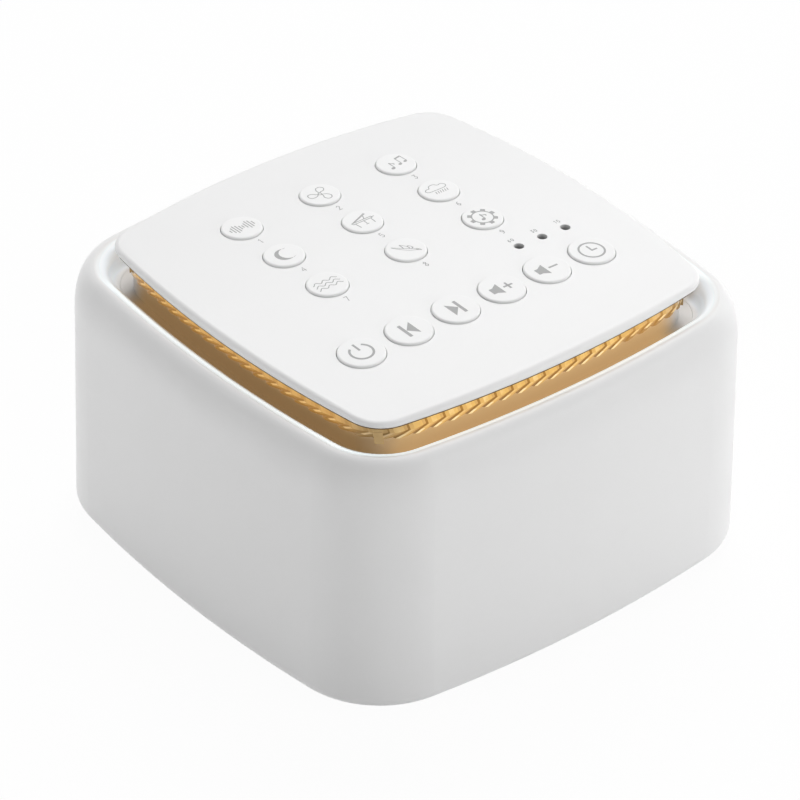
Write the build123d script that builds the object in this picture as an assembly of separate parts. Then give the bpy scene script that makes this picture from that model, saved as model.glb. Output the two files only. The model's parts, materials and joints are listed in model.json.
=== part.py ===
from build123d import *
from math import atan2, cos, degrees, hypot, pi, radians, sin, sqrt, tan
import os

# A square bedside sound machine: a moulded housing with a rolled rim, and a thin domed control panel that
# stands on a glowing clear ring inside that rim. Lengths are in millimetres and +Z is up. The origin is the
# middle of the footprint on the table, +X is the listener's right, and the front faces -Y.

# ---------------------------------------------------------------- housing
BODY_WIDTH = 109.0        # across the flats, at the bottom edge
BODY_HEIGHT = 54.7        # bottom edge to the crest of the rim
FOOT_STAND = 2.0          # the feet hold the housing this far off the table
DRAFT_DEG = 1.35          # the walls lean in towards the top
SIDE_RADIUS = 290.0       # plan radius of the bulged sides, at the rim
CORNER_RADIUS = 18.3      # plan radius of the corners, at the rim
BOTTOM_EDGE_RADIUS = 2.2
OUTER_ROLL_WIDTH = 4.0    # the rim's outer roll is a quarter ellipse
OUTER_ROLL_HEIGHT = 9.3
INNER_ROLL_WIDTH = 3.0    # the rim's inner roll is flatter
INNER_ROLL_HEIGHT = 2.25
COVE_RADIUS = 1.8         # where the rim's inner wall meets the channel floor
RETURN_WALL = 1.8         # wall between the light channel and the hollow inside the rim
RIM_SKIN = 3.8            # plastic above that hollow
SKIRT_WALL = 2.6          # wall beside the base cover
LEDGE_WIDTH = 0.8         # ledge that the base cover seats against
INNER_DRAFT_STEP = 0.4    # the inner wall leans in by this much over its height
LIP_THICKNESS = 2.0       # lip that carries the light deck
LIP_REACH = 3.0           # how far the lip reaches in past the edge of the plinth
BOSS_RADIUS = 4.0
BOSS_BITE = 0.5           # the corner bosses merge this far into the wall
BOSS_MERGE = 0.4          # and this far up into the lip
FIT_GAP = 0.2             # clearance between moulded parts that locate each other

# ---------------------------------------------------------------- light channel, deck and ring
PANEL_GAP = 1.33          # plan gap between the panel and the rim's inner wall
PANEL_OVERHANG = 2.07     # the panel reaches this far out over the ring
RING_OVERHANG = 0.5       # the ring reaches this far out over the plinth
RING_DROP = 0.9           # the ring's foot is this far below the rim's crest
RING_HEIGHT = 4.4
RING_EDGE_BREAK = 0.25
CORE_SIDE_RADIUS = 265.0  # plan radii at the ring's outer face; deck, boards and well run parallel to it
CORE_CORNER_RADIUS = 10.6
CHANNEL_DEPTH = 3.7       # plinth height above the channel floor
SHELF_WIDTH = 0.2         # housing shelf between the cove and the deck's edge
DECK_GAP = 0.05           # the deck is a close fit in its seat
DECK_FLOOR = 1.5
PLINTH_WALL = 1.2         # the two walls of the lamp groove
PLINTH_ROUND = 0.6        # rounded outer edge on top of the plinth
LAMP_GROOVE_WIDTH = 2.8
LAMP_GROOVE_DEPTH = 1.85
WELL_WALL = 1.4
WELL_FLOOR = 2.0
WELL_DEPTH = 7.3          # ring's foot to the top of the well floor
LAMP_BOARD_THICKNESS = 1.0
LAMP_BOARD_GAP = 0.1
LAMPS_PER_SIDE = 7
LAMP_SPAN = 54.0          # first to last lamp along one side
LAMP_LENGTH = 2.0
LAMP_WIDTH = 1.2
LAMP_HEIGHT = 0.8

# ---------------------------------------------------------------- control panel
PANEL_SIDE_RADIUS = 240.0
PANEL_CORNER_RADIUS = 7.5
PANEL_EDGE = 1.73         # thickness at the middle of a side
PANEL_DOME_RADIUS = 950.0
PANEL_TOP_ROUND = 0.95
PANEL_BOTTOM_ROUND = 0.2
LOCATING_RIB_HEIGHT = 2.5 # rib that centres the ring under the panel
LOCATING_RIB_WALL = 1.2
LOCATING_RIB_GAP = 0.1
PANEL_BOSS_RADIUS = 2.6
PANEL_BOSS_WALL_GAP = 0.7 # gap between a panel boss and the corner of the well
BOARD_POST_RADIUS = 2.2

SOUND_RADIUS = 4.12
SOUND_PITCH_X = 19.47
SOUND_PITCH_Y = 13.37
SOUND_CENTRE_Y = 13.35
CONTROL_RADIUS = 4.68
CONTROL_PITCH = 11.49
CONTROL_CENTRE_Y = -21.8
CAP_GAP = 0.14            # clearance around a cap in its hole
CAP_PROUD = 0.45          # caps stand this far above the panel
CAP_ROUND = 0.38
CAP_FLANGE_REACH = 0.7    # the flange under the panel that keeps the cap in
CAP_FLANGE_THICKNESS = 0.8
CAP_FLANGE_GAP = 0.05
CAP_STEM_RADIUS = 1.6
CAP_STEM_LENGTH = 1.35
PLUNGER_RADIUS = 1.7
PLUNGER_PROUD = 0.9
PLUNGER_DEPTH = 1.5       # length inside the switch
PLUNGER_GAP = 0.1
SWITCH_SIDE = 6.0
SWITCH_HEIGHT = 3.4
SWITCH_BORE_DEPTH = 2.2
BUTTON_TRAVEL = 0.5

TIMER_LIGHT_RADIUS = 0.95
TIMER_HOLE_RADIUS = 1.05
TIMER_PITCH = 5.99
TIMER_CENTRE = (24.6, -11.93)
TIMER_RECESS = 1.2        # the lights stop this far under the panel's surface

# Names of the caps, row by row from the back, left to right, and of the front row.
SOUND_ROWS = (("white_noise", "fan", "melody"), ("moon", "piano", "rain"), ("waves", "birds", "custom"))
CONTROL_ROW = ("power", "previous", "next", "volume_up", "volume_down", "timer")

# ---------------------------------------------------------------- boards and fasteners
BOARD_THICKNESS = 1.6
BUTTON_BOARD_GAP = 0.4    # clearance to the wall of the well
BOARD_POST_X = SOUND_PITCH_X / 2
BOARD_POST_CLEARANCE = 1.2
SMALL_SHANK_RADIUS = 1.0
SMALL_SHANK_LENGTH = 5.0
SMALL_HEAD_RADIUS = 1.9
SMALL_HEAD_HEIGHT = 1.3
SMALL_HOLE_GAP = 0.2
BASE_SHANK_RADIUS = 1.5
BASE_SHANK_LENGTH = 12.0
BASE_HEAD_RADIUS = 2.8
BASE_HEAD_HEIGHT = 1.2
BASE_COUNTERBORE_DEPTH = 1.4
CROSS_SLOT_WIDTH = 0.5
CROSS_SLOT_DEPTH = 0.6
PILOT_SPARE = 1.0         # a blind hole is this much deeper than its screw

MAIN_BOARD_WIDTH = 52.0
MAIN_BOARD_DEPTH = 21.5
MAIN_BOARD_WALL_GAP = 2.4 # back edge of the board to the back wall, at the middle
MAIN_BOARD_POST_HEIGHT = 5.0
MAIN_BOARD_POST_INSET = 3.5
MAIN_BOARD_POST_RADIUS = 2.4
MAIN_BOARD_TAB_WIDTH = 16.0
MAIN_BOARD_TAB_WALL_GAP = 0.6
RIBBON_WIDTH = 12.0
RIBBON_THICKNESS = 0.5
RIBBON_BOW = 3.0
RIBBON_STRAIGHT = 4.0
RIBBON_INSET = 4.5        # ribbon behind the front edge of the main board
RIBBON_SLOT_GAP = 1.0
CONNECTOR_HEIGHT = 2.0
CONNECTOR_DEPTH = 4.0
CONNECTOR_RIM = 1.0
CHIP_HEIGHT = 1.2
CHIPS = ((-14.0, 13.0, 8.0), (6.5, 13.5, 6.0), (19.0, 13.0, 4.5))  # x, y from the board's front edge, side
CAPACITOR_RADIUS = 2.5
CAPACITOR_HEIGHT = 7.0
CAPACITORS = ((-21.0, 9.0), (15.0, 4.5))                            # x, y from the board's front edge
LEAD_WIDTH = 2.6
LEAD_THICKNESS = 1.2
LEAD_PLUG_SIDE = 4.0
LEAD_PLUG_HEIGHT = 3.0
LEAD_PLUG_AT = (-14.0, 4.0)                                         # x, y from the board's front edge

# ---------------------------------------------------------------- power socket
SOCKET_WIDTH = 8.94
SOCKET_HEIGHT = 3.26
SOCKET_WALL = 0.3
SOCKET_LENGTH = 9.5
SOCKET_RECESS = 0.8       # mouth of the socket below the housing's surface
SOCKET_GAP = 0.15
PLUG_RECESS_WIDTH = 12.6  # shallow recess that takes the plug's grip
PLUG_RECESS_HEIGHT = 6.8
TONGUE_WIDTH = 6.7
TONGUE_THICKNESS = 0.7
TONGUE_SETBACK = 0.8
SOCKET_BACK_WALL = 1.0

# ---------------------------------------------------------------- base cover, feet and grille
BASE_THICKNESS = 2.4
BASE_RECESS = 0.4         # the cover's outside is this far inside the bottom edge
FOOT_AT = 34.0            # feet at (+-FOOT_AT, +-FOOT_AT)
FOOT_RADIUS = 5.0
FOOT_SEAT_DEPTH = 0.6
FOOT_SEAT_GAP = 0.2
FOOT_ROUND = 0.5
GRILLE_RADIUS = 19.0
GRILLE_SLOT_WIDTH = 2.0
GRILLE_SLOT_PITCH = 4.0
GRILLE_SLOTS = 9

# ---------------------------------------------------------------- speaker, facing down; depths run up from its face
SPEAKER_Y = -8.0
SPACER_HEIGHT = 3.0
SPACER_WALL = 2.4
GASKET_THICKNESS = 0.8
FLANGE_RADIUS = 25.0
FLANGE_THICKNESS = 1.2
FLANGE_WIDTH = 3.4
EAR_OUT = 2.0             # centres of the screw ears, outside the flange
EAR_RADIUS = 3.0
BASKET_DEPTH = 12.2
BASKET_REAR_RADIUS = 17.0
BASKET_WALL = 1.2
BASKET_WINDOWS = 4
BASKET_WINDOW_WIDTH = 15.0
BASKET_WINDOW_Z = (3.6, 8.4)
LANDING_THICKNESS = 1.0   # shelf that the surround is glued to
LANDING_WIDTH = 1.6
SPIDER_SHELF_DEPTH = 9.8
SPIDER_SHELF_BORE = 14.6
SPIDER_THICKNESS = 0.4
SPIDER_WAVE = 0.5
SPIDER_WAVES = 4
ROLL_RADIUS = 2.2
ROLL_THICKNESS = 0.4
ROLL_GLUE_WIDTH = 1.2     # flat of the surround on the landing shelf
CONE_GLUE_WIDTH = 0.8     # flat of the surround on the cone
CONE_THICKNESS = 0.5
CONE_NECK_DEPTH = 8.0
COIL_FORMER_INNER = 6.7
COIL_FORMER_WALL = 0.25
COIL_WINDING = 0.3
COIL_END_DEPTH = 15.6
WINDING_START_DEPTH = 12.0
DUST_CAP_RADIUS = 8.0
DUST_CAP_RISE = 2.6
DUST_CAP_THICKNESS = 0.4
DUST_CAP_GAP = 0.05
POLE_RADIUS = 6.2
PLATE_BORE = 7.75
PLATE_RADIUS = 15.0
PLATE_THICKNESS = 2.5
MAGNET_BORE = 9.5
MAGNET_RADIUS = 15.5
MAGNET_THICKNESS = 6.0
YOKE_RADIUS = 14.5
YOKE_THICKNESS = 2.5

# ---------------------------------------------------------------- levels and plan sizes worked out from the above
Z_BODY = FOOT_STAND
Z_CREST = Z_BODY + BODY_HEIGHT
Z_ROLL = Z_CREST - OUTER_ROLL_HEIGHT
Z_BASE = Z_BODY + BASE_RECESS
Z_BASE_TOP = Z_BASE + BASE_THICKNESS
Z_RING = Z_CREST - RING_DROP
Z_PANEL = Z_RING + RING_HEIGHT
Z_CHANNEL = Z_RING - CHANNEL_DEPTH
Z_LIP = Z_CHANNEL - DECK_FLOOR
Z_LIP_BOTTOM = Z_LIP - LIP_THICKNESS
Z_GROOVE = Z_RING - LAMP_GROOVE_DEPTH
Z_WELL = Z_RING - WELL_DEPTH
Z_WELL_BOTTOM = Z_WELL - WELL_FLOOR
Z_FLANGE = Z_PANEL - CAP_FLANGE_GAP
Z_STEM = Z_FLANGE - CAP_FLANGE_THICKNESS
Z_PLUNGER = Z_STEM - CAP_STEM_LENGTH
Z_SWITCH = Z_PLUNGER - PLUNGER_PROUD
Z_BUTTON_BOARD = Z_SWITCH - SWITCH_HEIGHT
Z_MAIN_BOARD = Z_BASE_TOP + MAIN_BOARD_POST_HEIGHT + BOARD_THICKNESS
Z_SPEAKER = Z_BASE_TOP + SPACER_HEIGHT + GASKET_THICKNESS
Z_SOCKET = Z_MAIN_BOARD + SOCKET_HEIGHT / 2

LEAN = tan(radians(DRAFT_DEG))
BOTTOM_HALF = BODY_WIDTH / 2
RIM_HALF = BOTTOM_HALF - LEAN * BODY_HEIGHT
ROLL_HALF = BOTTOM_HALF - LEAN * (Z_ROLL - Z_BODY)
CREST_HALF = ROLL_HALF - OUTER_ROLL_WIDTH
RETURN_HALF = CREST_HALF - INNER_ROLL_WIDTH
SKIRT_HALF = BOTTOM_HALF - SKIRT_WALL
INNER_HALF = SKIRT_HALF - LEDGE_WIDTH
INNER_TOP_HALF = INNER_HALF - INNER_DRAFT_STEP
PANEL_HALF = RETURN_HALF - PANEL_GAP
RING_HALF = PANEL_HALF - PANEL_OVERHANG
PLINTH_HALF = RING_HALF - RING_OVERHANG
DECK_HALF = RETURN_HALF - COVE_RADIUS - SHELF_WIDTH - DECK_GAP
GROOVE_OUTER_HALF = PLINTH_HALF - PLINTH_WALL
GROOVE_INNER_HALF = GROOVE_OUTER_HALF - LAMP_GROOVE_WIDTH
WELL_HALF = GROOVE_INNER_HALF - PLINTH_WALL
WELL_OUTER_HALF = WELL_HALF + WELL_WALL
OPENING_HALF = WELL_OUTER_HALF + FIT_GAP
LAMP_HALF = (GROOVE_OUTER_HALF + GROOVE_INNER_HALF) / 2
DECK_SCREW_HALF = (OPENING_HALF + PLINTH_HALF) / 2
RIB_HALF = WELL_HALF + FIT_GAP
MAIN_BOARD_BACK = INNER_HALF - MAIN_BOARD_WALL_GAP
MAIN_BOARD_FRONT = MAIN_BOARD_BACK - MAIN_BOARD_DEPTH
RIBBON_Y = MAIN_BOARD_FRONT + RIBBON_INSET
EAR_AT = FLANGE_RADIUS + EAR_OUT
FLANGE_BORE = FLANGE_RADIUS - FLANGE_WIDTH
LANDING_BORE = FLANGE_BORE - LANDING_WIDTH
ROLL_CENTRE = FLANGE_BORE - ROLL_GLUE_WIDTH - ROLL_RADIUS
CONE_EDGE_RADIUS = ROLL_CENTRE - ROLL_RADIUS
SOCKET_MOUTH = BOTTOM_HALF - LEAN * (Z_SOCKET - Z_BODY) - SOCKET_RECESS
CUT = 1.0                 # how far a cutting tool runs past the face it opens


# ---------------------------------------------------------------- outlines and basic solids
def corner_centre(half, side_radius, corner_radius):
    """Distance from both centre lines to the centre of a corner arc that is tangent to two side arcs."""
    run = side_radius - half
    reach = side_radius - corner_radius
    return (sqrt(2 * reach ** 2 - run ** 2) - run) / 2


def outline(half, side_radius, corner_radius):
    """Closed wire of a square with bulged sides and round corners. It starts at the middle of the +X side."""
    c = corner_centre(half, side_radius, corner_radius)
    run = side_radius - half
    turn = degrees(atan2(c, c + run))
    arcs = []
    for quarter in range(4):
        spin = Rot(0, 0, 90 * quarter)
        arcs.append(spin * CenterArc((-run, 0), side_radius, 0, turn))
        arcs.append(spin * CenterArc((c, c), corner_radius, turn, 90 - 2 * turn))
        arcs.append(spin * CenterArc((0, -run), side_radius, 90 - turn, turn))
    return Wire(arcs)


def shell_outline(half):
    """Outline that runs parallel to the housing's rim."""
    inset = RIM_HALF - half
    return outline(half, SIDE_RADIUS - inset, CORNER_RADIUS - inset)


def core_outline(half):
    """Outline that runs parallel to the light ring."""
    inset = RING_HALF - half
    return outline(half, CORE_SIDE_RADIUS - inset, CORE_CORNER_RADIUS - inset)


def prism(wire, z0, z1):
    """Solid between two heights inside a plan outline."""
    return extrude(Pos(0, 0, z0) * Face(wire), z1 - z0, dir=(0, 0, 1))


def core_band(outer_half, inner_half, z0, z1):
    """Wall between two outlines that run parallel to the light ring."""
    return prism(core_outline(outer_half), z0, z1) - prism(core_outline(inner_half), z0 - CUT, z1 + CUT)


def post(x, y, radius, z0, z1):
    """Upright cylinder."""
    return Pos(x, y, (z0 + z1) / 2) * Cylinder(radius, z1 - z0)


def block(x, y, width, depth, z0, z1):
    """Upright box centred on x, y."""
    return Pos(x, y, (z0 + z1) / 2) * Box(width, depth, z1 - z0)


def turned(points, x=0.0, y=0.0):
    """Solid of revolution about an upright axis, from (radius, height) points."""
    face = Plane.XZ * make_face(Polyline(*points, close=True))
    return Pos(x, y, 0) * revolve(face, Axis.Z)


def diagonal_corners(half, side_radius, corner_radius):
    """The four points where an outline crosses the diagonals."""
    reach = corner_centre(half, side_radius, corner_radius) + corner_radius / sqrt(2)
    return [(sx * reach, sy * reach) for sx in (-1, 1) for sy in (-1, 1)]


def dome(offset=0.0):
    """Ball whose top is the panel's domed surface, raised by the offset. Its poles and seam are kept out of the way."""
    middle = Z_PANEL + PANEL_EDGE + PANEL_DOME_RADIUS - sqrt(PANEL_DOME_RADIUS ** 2 - PANEL_HALF ** 2)
    return Pos(0, 0, middle - PANEL_DOME_RADIUS) * Rot(90, 0, 0) * Sphere(PANEL_DOME_RADIUS + offset)


def socket_bar(width, height, y, length):
    """Flat bar with round edges that runs towards the back from y, at the height of the power socket."""
    profile = RectangleRounded(width, height, 0.99 * height / 2)
    return extrude(Plane((0, y, Z_SOCKET), x_dir=(1, 0, 0), z_dir=(0, 1, 0)) * profile, length)


def screw(x, y, z, up, shank_radius, shank_length, head_radius, head_height):
    """Pan-head screw whose head bears at height z, with its shank pointing up or down."""
    way = 1 if up else -1
    shank_end = z + way * shank_length
    head_end = z - way * head_height
    body = post(x, y, shank_radius, min(z, shank_end), max(z, shank_end))
    body += post(x, y, head_radius, min(z, head_end), max(z, head_end))
    slot_end = head_end + way * CROSS_SLOT_DEPTH
    low, high = min(head_end, slot_end), max(head_end, slot_end)
    body -= block(x, y, head_radius, CROSS_SLOT_WIDTH, low, high)
    body -= block(x, y, CROSS_SLOT_WIDTH, head_radius, low, high)
    return body


def small_screw(x, y, z, up):
    """Small self-tapping screw used everywhere inside."""
    return screw(x, y, z, up, SMALL_SHANK_RADIUS, SMALL_SHANK_LENGTH, SMALL_HEAD_RADIUS, SMALL_HEAD_HEIGHT)


def small_pilot(x, y, z, up):
    """Blind hole for a small screw that enters at height z."""
    end = z + (1 if up else -1) * (SMALL_SHANK_LENGTH + PILOT_SPARE)
    return post(x, y, SMALL_SHANK_RADIUS, min(z, end), max(z, end))


def small_clearance(x, y, z0, z1):
    """Hole that lets a small screw through."""
    return post(x, y, SMALL_SHANK_RADIUS + SMALL_HOLE_GAP, z0 - CUT, z1 + CUT)


# ---------------------------------------------------------------- where repeated things stand
def sound_buttons():
    """Name and place of each sound button."""
    return [(name, (column - 1) * SOUND_PITCH_X, SOUND_CENTRE_Y + (1 - row) * SOUND_PITCH_Y)
            for row, names in enumerate(SOUND_ROWS) for column, name in enumerate(names)]


def control_buttons():
    """Name and place of each button in the front row."""
    middle = (len(CONTROL_ROW) - 1) / 2
    return [(name, (index - middle) * CONTROL_PITCH, CONTROL_CENTRE_Y) for index, name in enumerate(CONTROL_ROW)]


def all_buttons():
    """Name, place and cap radius of every button."""
    sounds = [(name, x, y, SOUND_RADIUS) for name, x, y in sound_buttons()]
    return sounds + [(name, x, y, CONTROL_RADIUS) for name, x, y in control_buttons()]


def timer_lights():
    """Places of the three timer lights."""
    return [(TIMER_CENTRE[0] + step * TIMER_PITCH, TIMER_CENTRE[1]) for step in (-1, 0, 1)]


def housing_bosses():
    """Corner bosses that take the base screws."""
    half = INNER_HALF - BOSS_RADIUS + BOSS_BITE
    inset = RIM_HALF - half
    return diagonal_corners(half, SIDE_RADIUS - inset, CORNER_RADIUS - inset)


def deck_screws():
    """Screws up through the lip into the plinth, one at the middle of each side."""
    return [(DECK_SCREW_HALF, 0), (-DECK_SCREW_HALF, 0), (0, DECK_SCREW_HALF), (0, -DECK_SCREW_HALF)]


def panel_bosses():
    """Bosses that hold the panel down to the well floor, one in each corner of the well."""
    inset = RING_HALF - WELL_HALF
    reach = diagonal_corners(WELL_HALF, CORE_SIDE_RADIUS - inset, CORE_CORNER_RADIUS - inset)[-1][0]
    at = reach - (PANEL_BOSS_RADIUS + PANEL_BOSS_WALL_GAP) / sqrt(2)
    return [(sx * at, sy * at) for sx in (-1, 1) for sy in (-1, 1)]


def board_posts():
    """Posts that hold the button board, in the gaps between the columns of sound buttons."""
    back = SOUND_CENTRE_Y + SOUND_PITCH_Y / 2
    front = SOUND_CENTRE_Y - SOUND_PITCH_Y - SOUND_RADIUS - BOARD_POST_RADIUS - BOARD_POST_CLEARANCE
    return [(sx * BOARD_POST_X, y) for sx in (-1, 1) for y in (back, front)]


def main_board_posts():
    """Posts under the main board."""
    x = MAIN_BOARD_WIDTH / 2 - MAIN_BOARD_POST_INSET
    rows = (MAIN_BOARD_FRONT + MAIN_BOARD_POST_INSET, MAIN_BOARD_BACK - MAIN_BOARD_POST_INSET)
    return [(sx * x, y) for sx in (-1, 1) for y in rows]


def speaker_ears():
    """Screw ears around the speaker."""
    return [(EAR_AT * cos(radians(a)), SPEAKER_Y + EAR_AT * sin(radians(a))) for a in (45, 135, 225, 315)]


def feet():
    """Places of the four feet."""
    return [(sx * FOOT_AT, sy * FOOT_AT) for sx in (-1, 1) for sy in (-1, 1)]


def lamp_places():
    """Place and turn of each lamp under the ring."""
    radius = CORE_SIDE_RADIUS - (RING_HALF - LAMP_HALF)
    places = []
    for quarter in range(4):
        for index in range(LAMPS_PER_SIDE):
            along = LAMP_SPAN * (index / (LAMPS_PER_SIDE - 1) - 0.5)
            out = LAMP_HALF - radius + sqrt(radius ** 2 - along ** 2)
            places.append(Rot(0, 0, 90 * quarter) * Pos(out, along, 0) * Rot(0, 0, degrees(atan2(along, radius))))
    return places


# ---------------------------------------------------------------- enclosure
def housing_section():
    """Section of the wall, the rolled rim, its return wall and the shelf beside the deck."""
    inner_roll_end = Z_CREST - INNER_ROLL_HEIGHT
    cove_top = Z_CHANNEL + COVE_RADIUS
    cove_end = RETURN_HALF - COVE_RADIUS
    shelf_end = cove_end - SHELF_WIDTH
    hollow_outer = INNER_TOP_HALF
    hollow_inner = RETURN_HALF + RETURN_WALL
    hollow_top = Z_CREST - RIM_SKIN
    foot_half = BOTTOM_HALF - LEAN * BOTTOM_EDGE_RADIUS
    foot_flat = BOTTOM_HALF - BOTTOM_EDGE_RADIUS
    edge_mid = (foot_flat + BOTTOM_EDGE_RADIUS * cos(pi / 4), Z_BODY + BOTTOM_EDGE_RADIUS * (1 - sin(pi / 4)))
    cove_mid = (cove_end + COVE_RADIUS * cos(pi / 4), cove_top - COVE_RADIUS * sin(pi / 4))
    edges = [
        ThreePointArc((foot_flat, Z_BODY), edge_mid, (foot_half, Z_BODY + BOTTOM_EDGE_RADIUS)),
        Line((foot_half, Z_BODY + BOTTOM_EDGE_RADIUS), (ROLL_HALF, Z_ROLL)),
        EllipticalCenterArc((CREST_HALF, Z_ROLL), OUTER_ROLL_WIDTH, OUTER_ROLL_HEIGHT, 0, arc_size=90),
        EllipticalCenterArc((CREST_HALF, inner_roll_end), INNER_ROLL_WIDTH, INNER_ROLL_HEIGHT, 90, arc_size=90),
        Line((RETURN_HALF, inner_roll_end), (RETURN_HALF, cove_top)),
        ThreePointArc((RETURN_HALF, cove_top), cove_mid, (cove_end, Z_CHANNEL)),
        Polyline((cove_end, Z_CHANNEL), (shelf_end, Z_CHANNEL), (shelf_end, Z_LIP_BOTTOM),
                 (hollow_inner, Z_LIP_BOTTOM), (hollow_inner, hollow_top), (hollow_outer, hollow_top),
                 (INNER_HALF, Z_BASE_TOP), (SKIRT_HALF, Z_BASE_TOP), (SKIRT_HALF, Z_BODY), (foot_flat, Z_BODY)),
    ]
    return Plane.XZ * make_face(edges)


def make_outer_housing():
    """Housing: swept wall and rim, lip for the deck, corner bosses, and the opening for the power socket."""
    body = sweep(housing_section(), path=shell_outline(RIM_HALF))
    lip = prism(shell_outline(RETURN_HALF + RETURN_WALL / 2), Z_LIP_BOTTOM, Z_LIP)
    body += lip - prism(core_outline(OPENING_HALF), Z_LIP_BOTTOM - CUT, Z_LIP + CUT)
    for x, y in housing_bosses():
        body += post(x, y, BOSS_RADIUS, Z_BASE_TOP, Z_LIP_BOTTOM + BOSS_MERGE)
        body -= post(x, y, BASE_SHANK_RADIUS, Z_BASE_TOP - CUT, Z_BASE_TOP + BASE_SHANK_LENGTH)
    for x, y in deck_screws():
        body -= small_clearance(x, y, Z_LIP_BOTTOM, Z_LIP)
    through = BOTTOM_HALF + CUT - INNER_HALF
    body -= socket_bar(SOCKET_WIDTH + 2 * SOCKET_GAP, SOCKET_HEIGHT + 2 * SOCKET_GAP, INNER_HALF - CUT, through + CUT)
    body -= socket_bar(PLUG_RECESS_WIDTH, PLUG_RECESS_HEIGHT, SOCKET_MOUTH, SOCKET_RECESS + CUT)
    return body


def make_base_cover():
    """Base cover with the speaker grille, the speaker's spacer ring, board posts and seats for the feet."""
    body = prism(shell_outline(SKIRT_HALF - FIT_GAP), Z_BASE, Z_BASE_TOP)
    body += Pos(0, SPEAKER_Y, 0) * (post(0, 0, FLANGE_RADIUS, Z_BASE_TOP, Z_BASE_TOP + SPACER_HEIGHT)
                                    - post(0, 0, FLANGE_RADIUS - SPACER_WALL, Z_BASE_TOP, Z_SPEAKER))
    for x, y in speaker_ears():
        body += post(x, y, EAR_RADIUS, Z_BASE_TOP, Z_SPEAKER) - post(0, SPEAKER_Y, FLANGE_RADIUS, Z_BASE_TOP, Z_SPEAKER)
        body -= post(x, y, SMALL_SHANK_RADIUS, Z_SPEAKER + FLANGE_THICKNESS - SMALL_SHANK_LENGTH, Z_SPEAKER + CUT)
    for x, y in main_board_posts():
        body += post(x, y, MAIN_BOARD_POST_RADIUS, Z_BASE_TOP, Z_MAIN_BOARD - BOARD_THICKNESS)
        body -= post(x, y, SMALL_SHANK_RADIUS, Z_MAIN_BOARD - SMALL_SHANK_LENGTH, Z_MAIN_BOARD)
    for index in range(GRILLE_SLOTS):
        offset = (index - (GRILLE_SLOTS - 1) / 2) * GRILLE_SLOT_PITCH
        length = 2 * sqrt(GRILLE_RADIUS ** 2 - offset ** 2)
        slot = SlotOverall(length, GRILLE_SLOT_WIDTH)
        body -= extrude(Pos(0, SPEAKER_Y + offset, Z_BASE - CUT) * slot, BASE_THICKNESS + 2 * CUT)
    for x, y in housing_bosses():
        body -= post(x, y, BASE_SHANK_RADIUS + FIT_GAP, Z_BASE - CUT, Z_BASE_TOP + CUT)
        body -= post(x, y, BASE_HEAD_RADIUS + FIT_GAP, Z_BASE - CUT, Z_BASE + BASE_COUNTERBORE_DEPTH)
    for x, y in feet():
        body -= post(x, y, FOOT_RADIUS + FOOT_SEAT_GAP, Z_BASE - CUT, Z_BASE + FOOT_SEAT_DEPTH)
    return body


def make_rubber_feet():
    """Four round feet, each stuck in its seat in the base cover."""
    solids = []
    for x, y in feet():
        foot = post(x, y, FOOT_RADIUS, 0, Z_BASE + FOOT_SEAT_DEPTH)
        solids.append(fillet(foot.edges().group_by(Axis.Z)[0], FOOT_ROUND))
    return solids


def make_base_screws():
    """Four screws up through the base cover into the corner bosses."""
    z = Z_BASE + BASE_COUNTERBORE_DEPTH
    return [screw(x, y, z, True, BASE_SHANK_RADIUS, BASE_SHANK_LENGTH, BASE_HEAD_RADIUS, BASE_HEAD_HEIGHT)
            for x, y in housing_bosses()]


# ---------------------------------------------------------------- light deck, ring and lamps
def make_light_deck():
    """Deck: channel floor, plinth with the lamp groove, and the well that holds the button board."""
    floor = prism(shell_outline(DECK_HALF), Z_LIP, Z_CHANNEL)
    body = floor - prism(core_outline(WELL_HALF), Z_LIP - CUT, Z_CHANNEL + CUT)
    body += core_band(PLINTH_HALF, WELL_HALF, Z_CHANNEL, Z_GROOVE)
    outer_wall = core_band(PLINTH_HALF, GROOVE_OUTER_HALF, Z_GROOVE, Z_RING)
    body += fillet(outer_wall.faces().sort_by(Axis.Z)[-1].outer_wire().edges(), PLINTH_ROUND)
    body += core_band(GROOVE_INNER_HALF, WELL_HALF, Z_GROOVE, Z_RING)
    body += core_band(WELL_OUTER_HALF, WELL_HALF, Z_WELL_BOTTOM, Z_LIP)
    body += prism(core_outline(WELL_HALF), Z_WELL_BOTTOM, Z_WELL)
    for x, y in deck_screws():
        body -= post(x, y, SMALL_SHANK_RADIUS, Z_LIP - CUT, Z_LIP_BOTTOM + SMALL_SHANK_LENGTH)
    for x, y in panel_bosses():
        body -= small_clearance(x, y, Z_WELL_BOTTOM, Z_WELL)
    slot_width = RIBBON_WIDTH + 2 * RIBBON_SLOT_GAP
    slot_depth = RIBBON_THICKNESS + 2 * RIBBON_SLOT_GAP
    body -= block(0, RIBBON_Y, slot_width, slot_depth, Z_WELL_BOTTOM - CUT, Z_WELL + CUT)
    return body


def make_light_ring():
    """Clear ring that stands on the plinth and carries the panel."""
    ring = core_band(RING_HALF, RIB_HALF + LOCATING_RIB_GAP, Z_RING, Z_PANEL)
    return chamfer(ring.faces().sort_by(Axis.Z)[0].outer_wire().edges(), RING_EDGE_BREAK)


def make_lamp_board():
    """Narrow circuit board in the groove of the plinth."""
    return core_band(GROOVE_OUTER_HALF - LAMP_BOARD_GAP, GROOVE_INNER_HALF + LAMP_BOARD_GAP,
                     Z_GROOVE, Z_GROOVE + LAMP_BOARD_THICKNESS)


def make_ring_lamps():
    """Lamps on the lamp board, shining up into the ring."""
    base = Z_GROOVE + LAMP_BOARD_THICKNESS
    return [place * block(0, 0, LAMP_WIDTH, LAMP_LENGTH, base, base + LAMP_HEIGHT) for place in lamp_places()]


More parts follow.
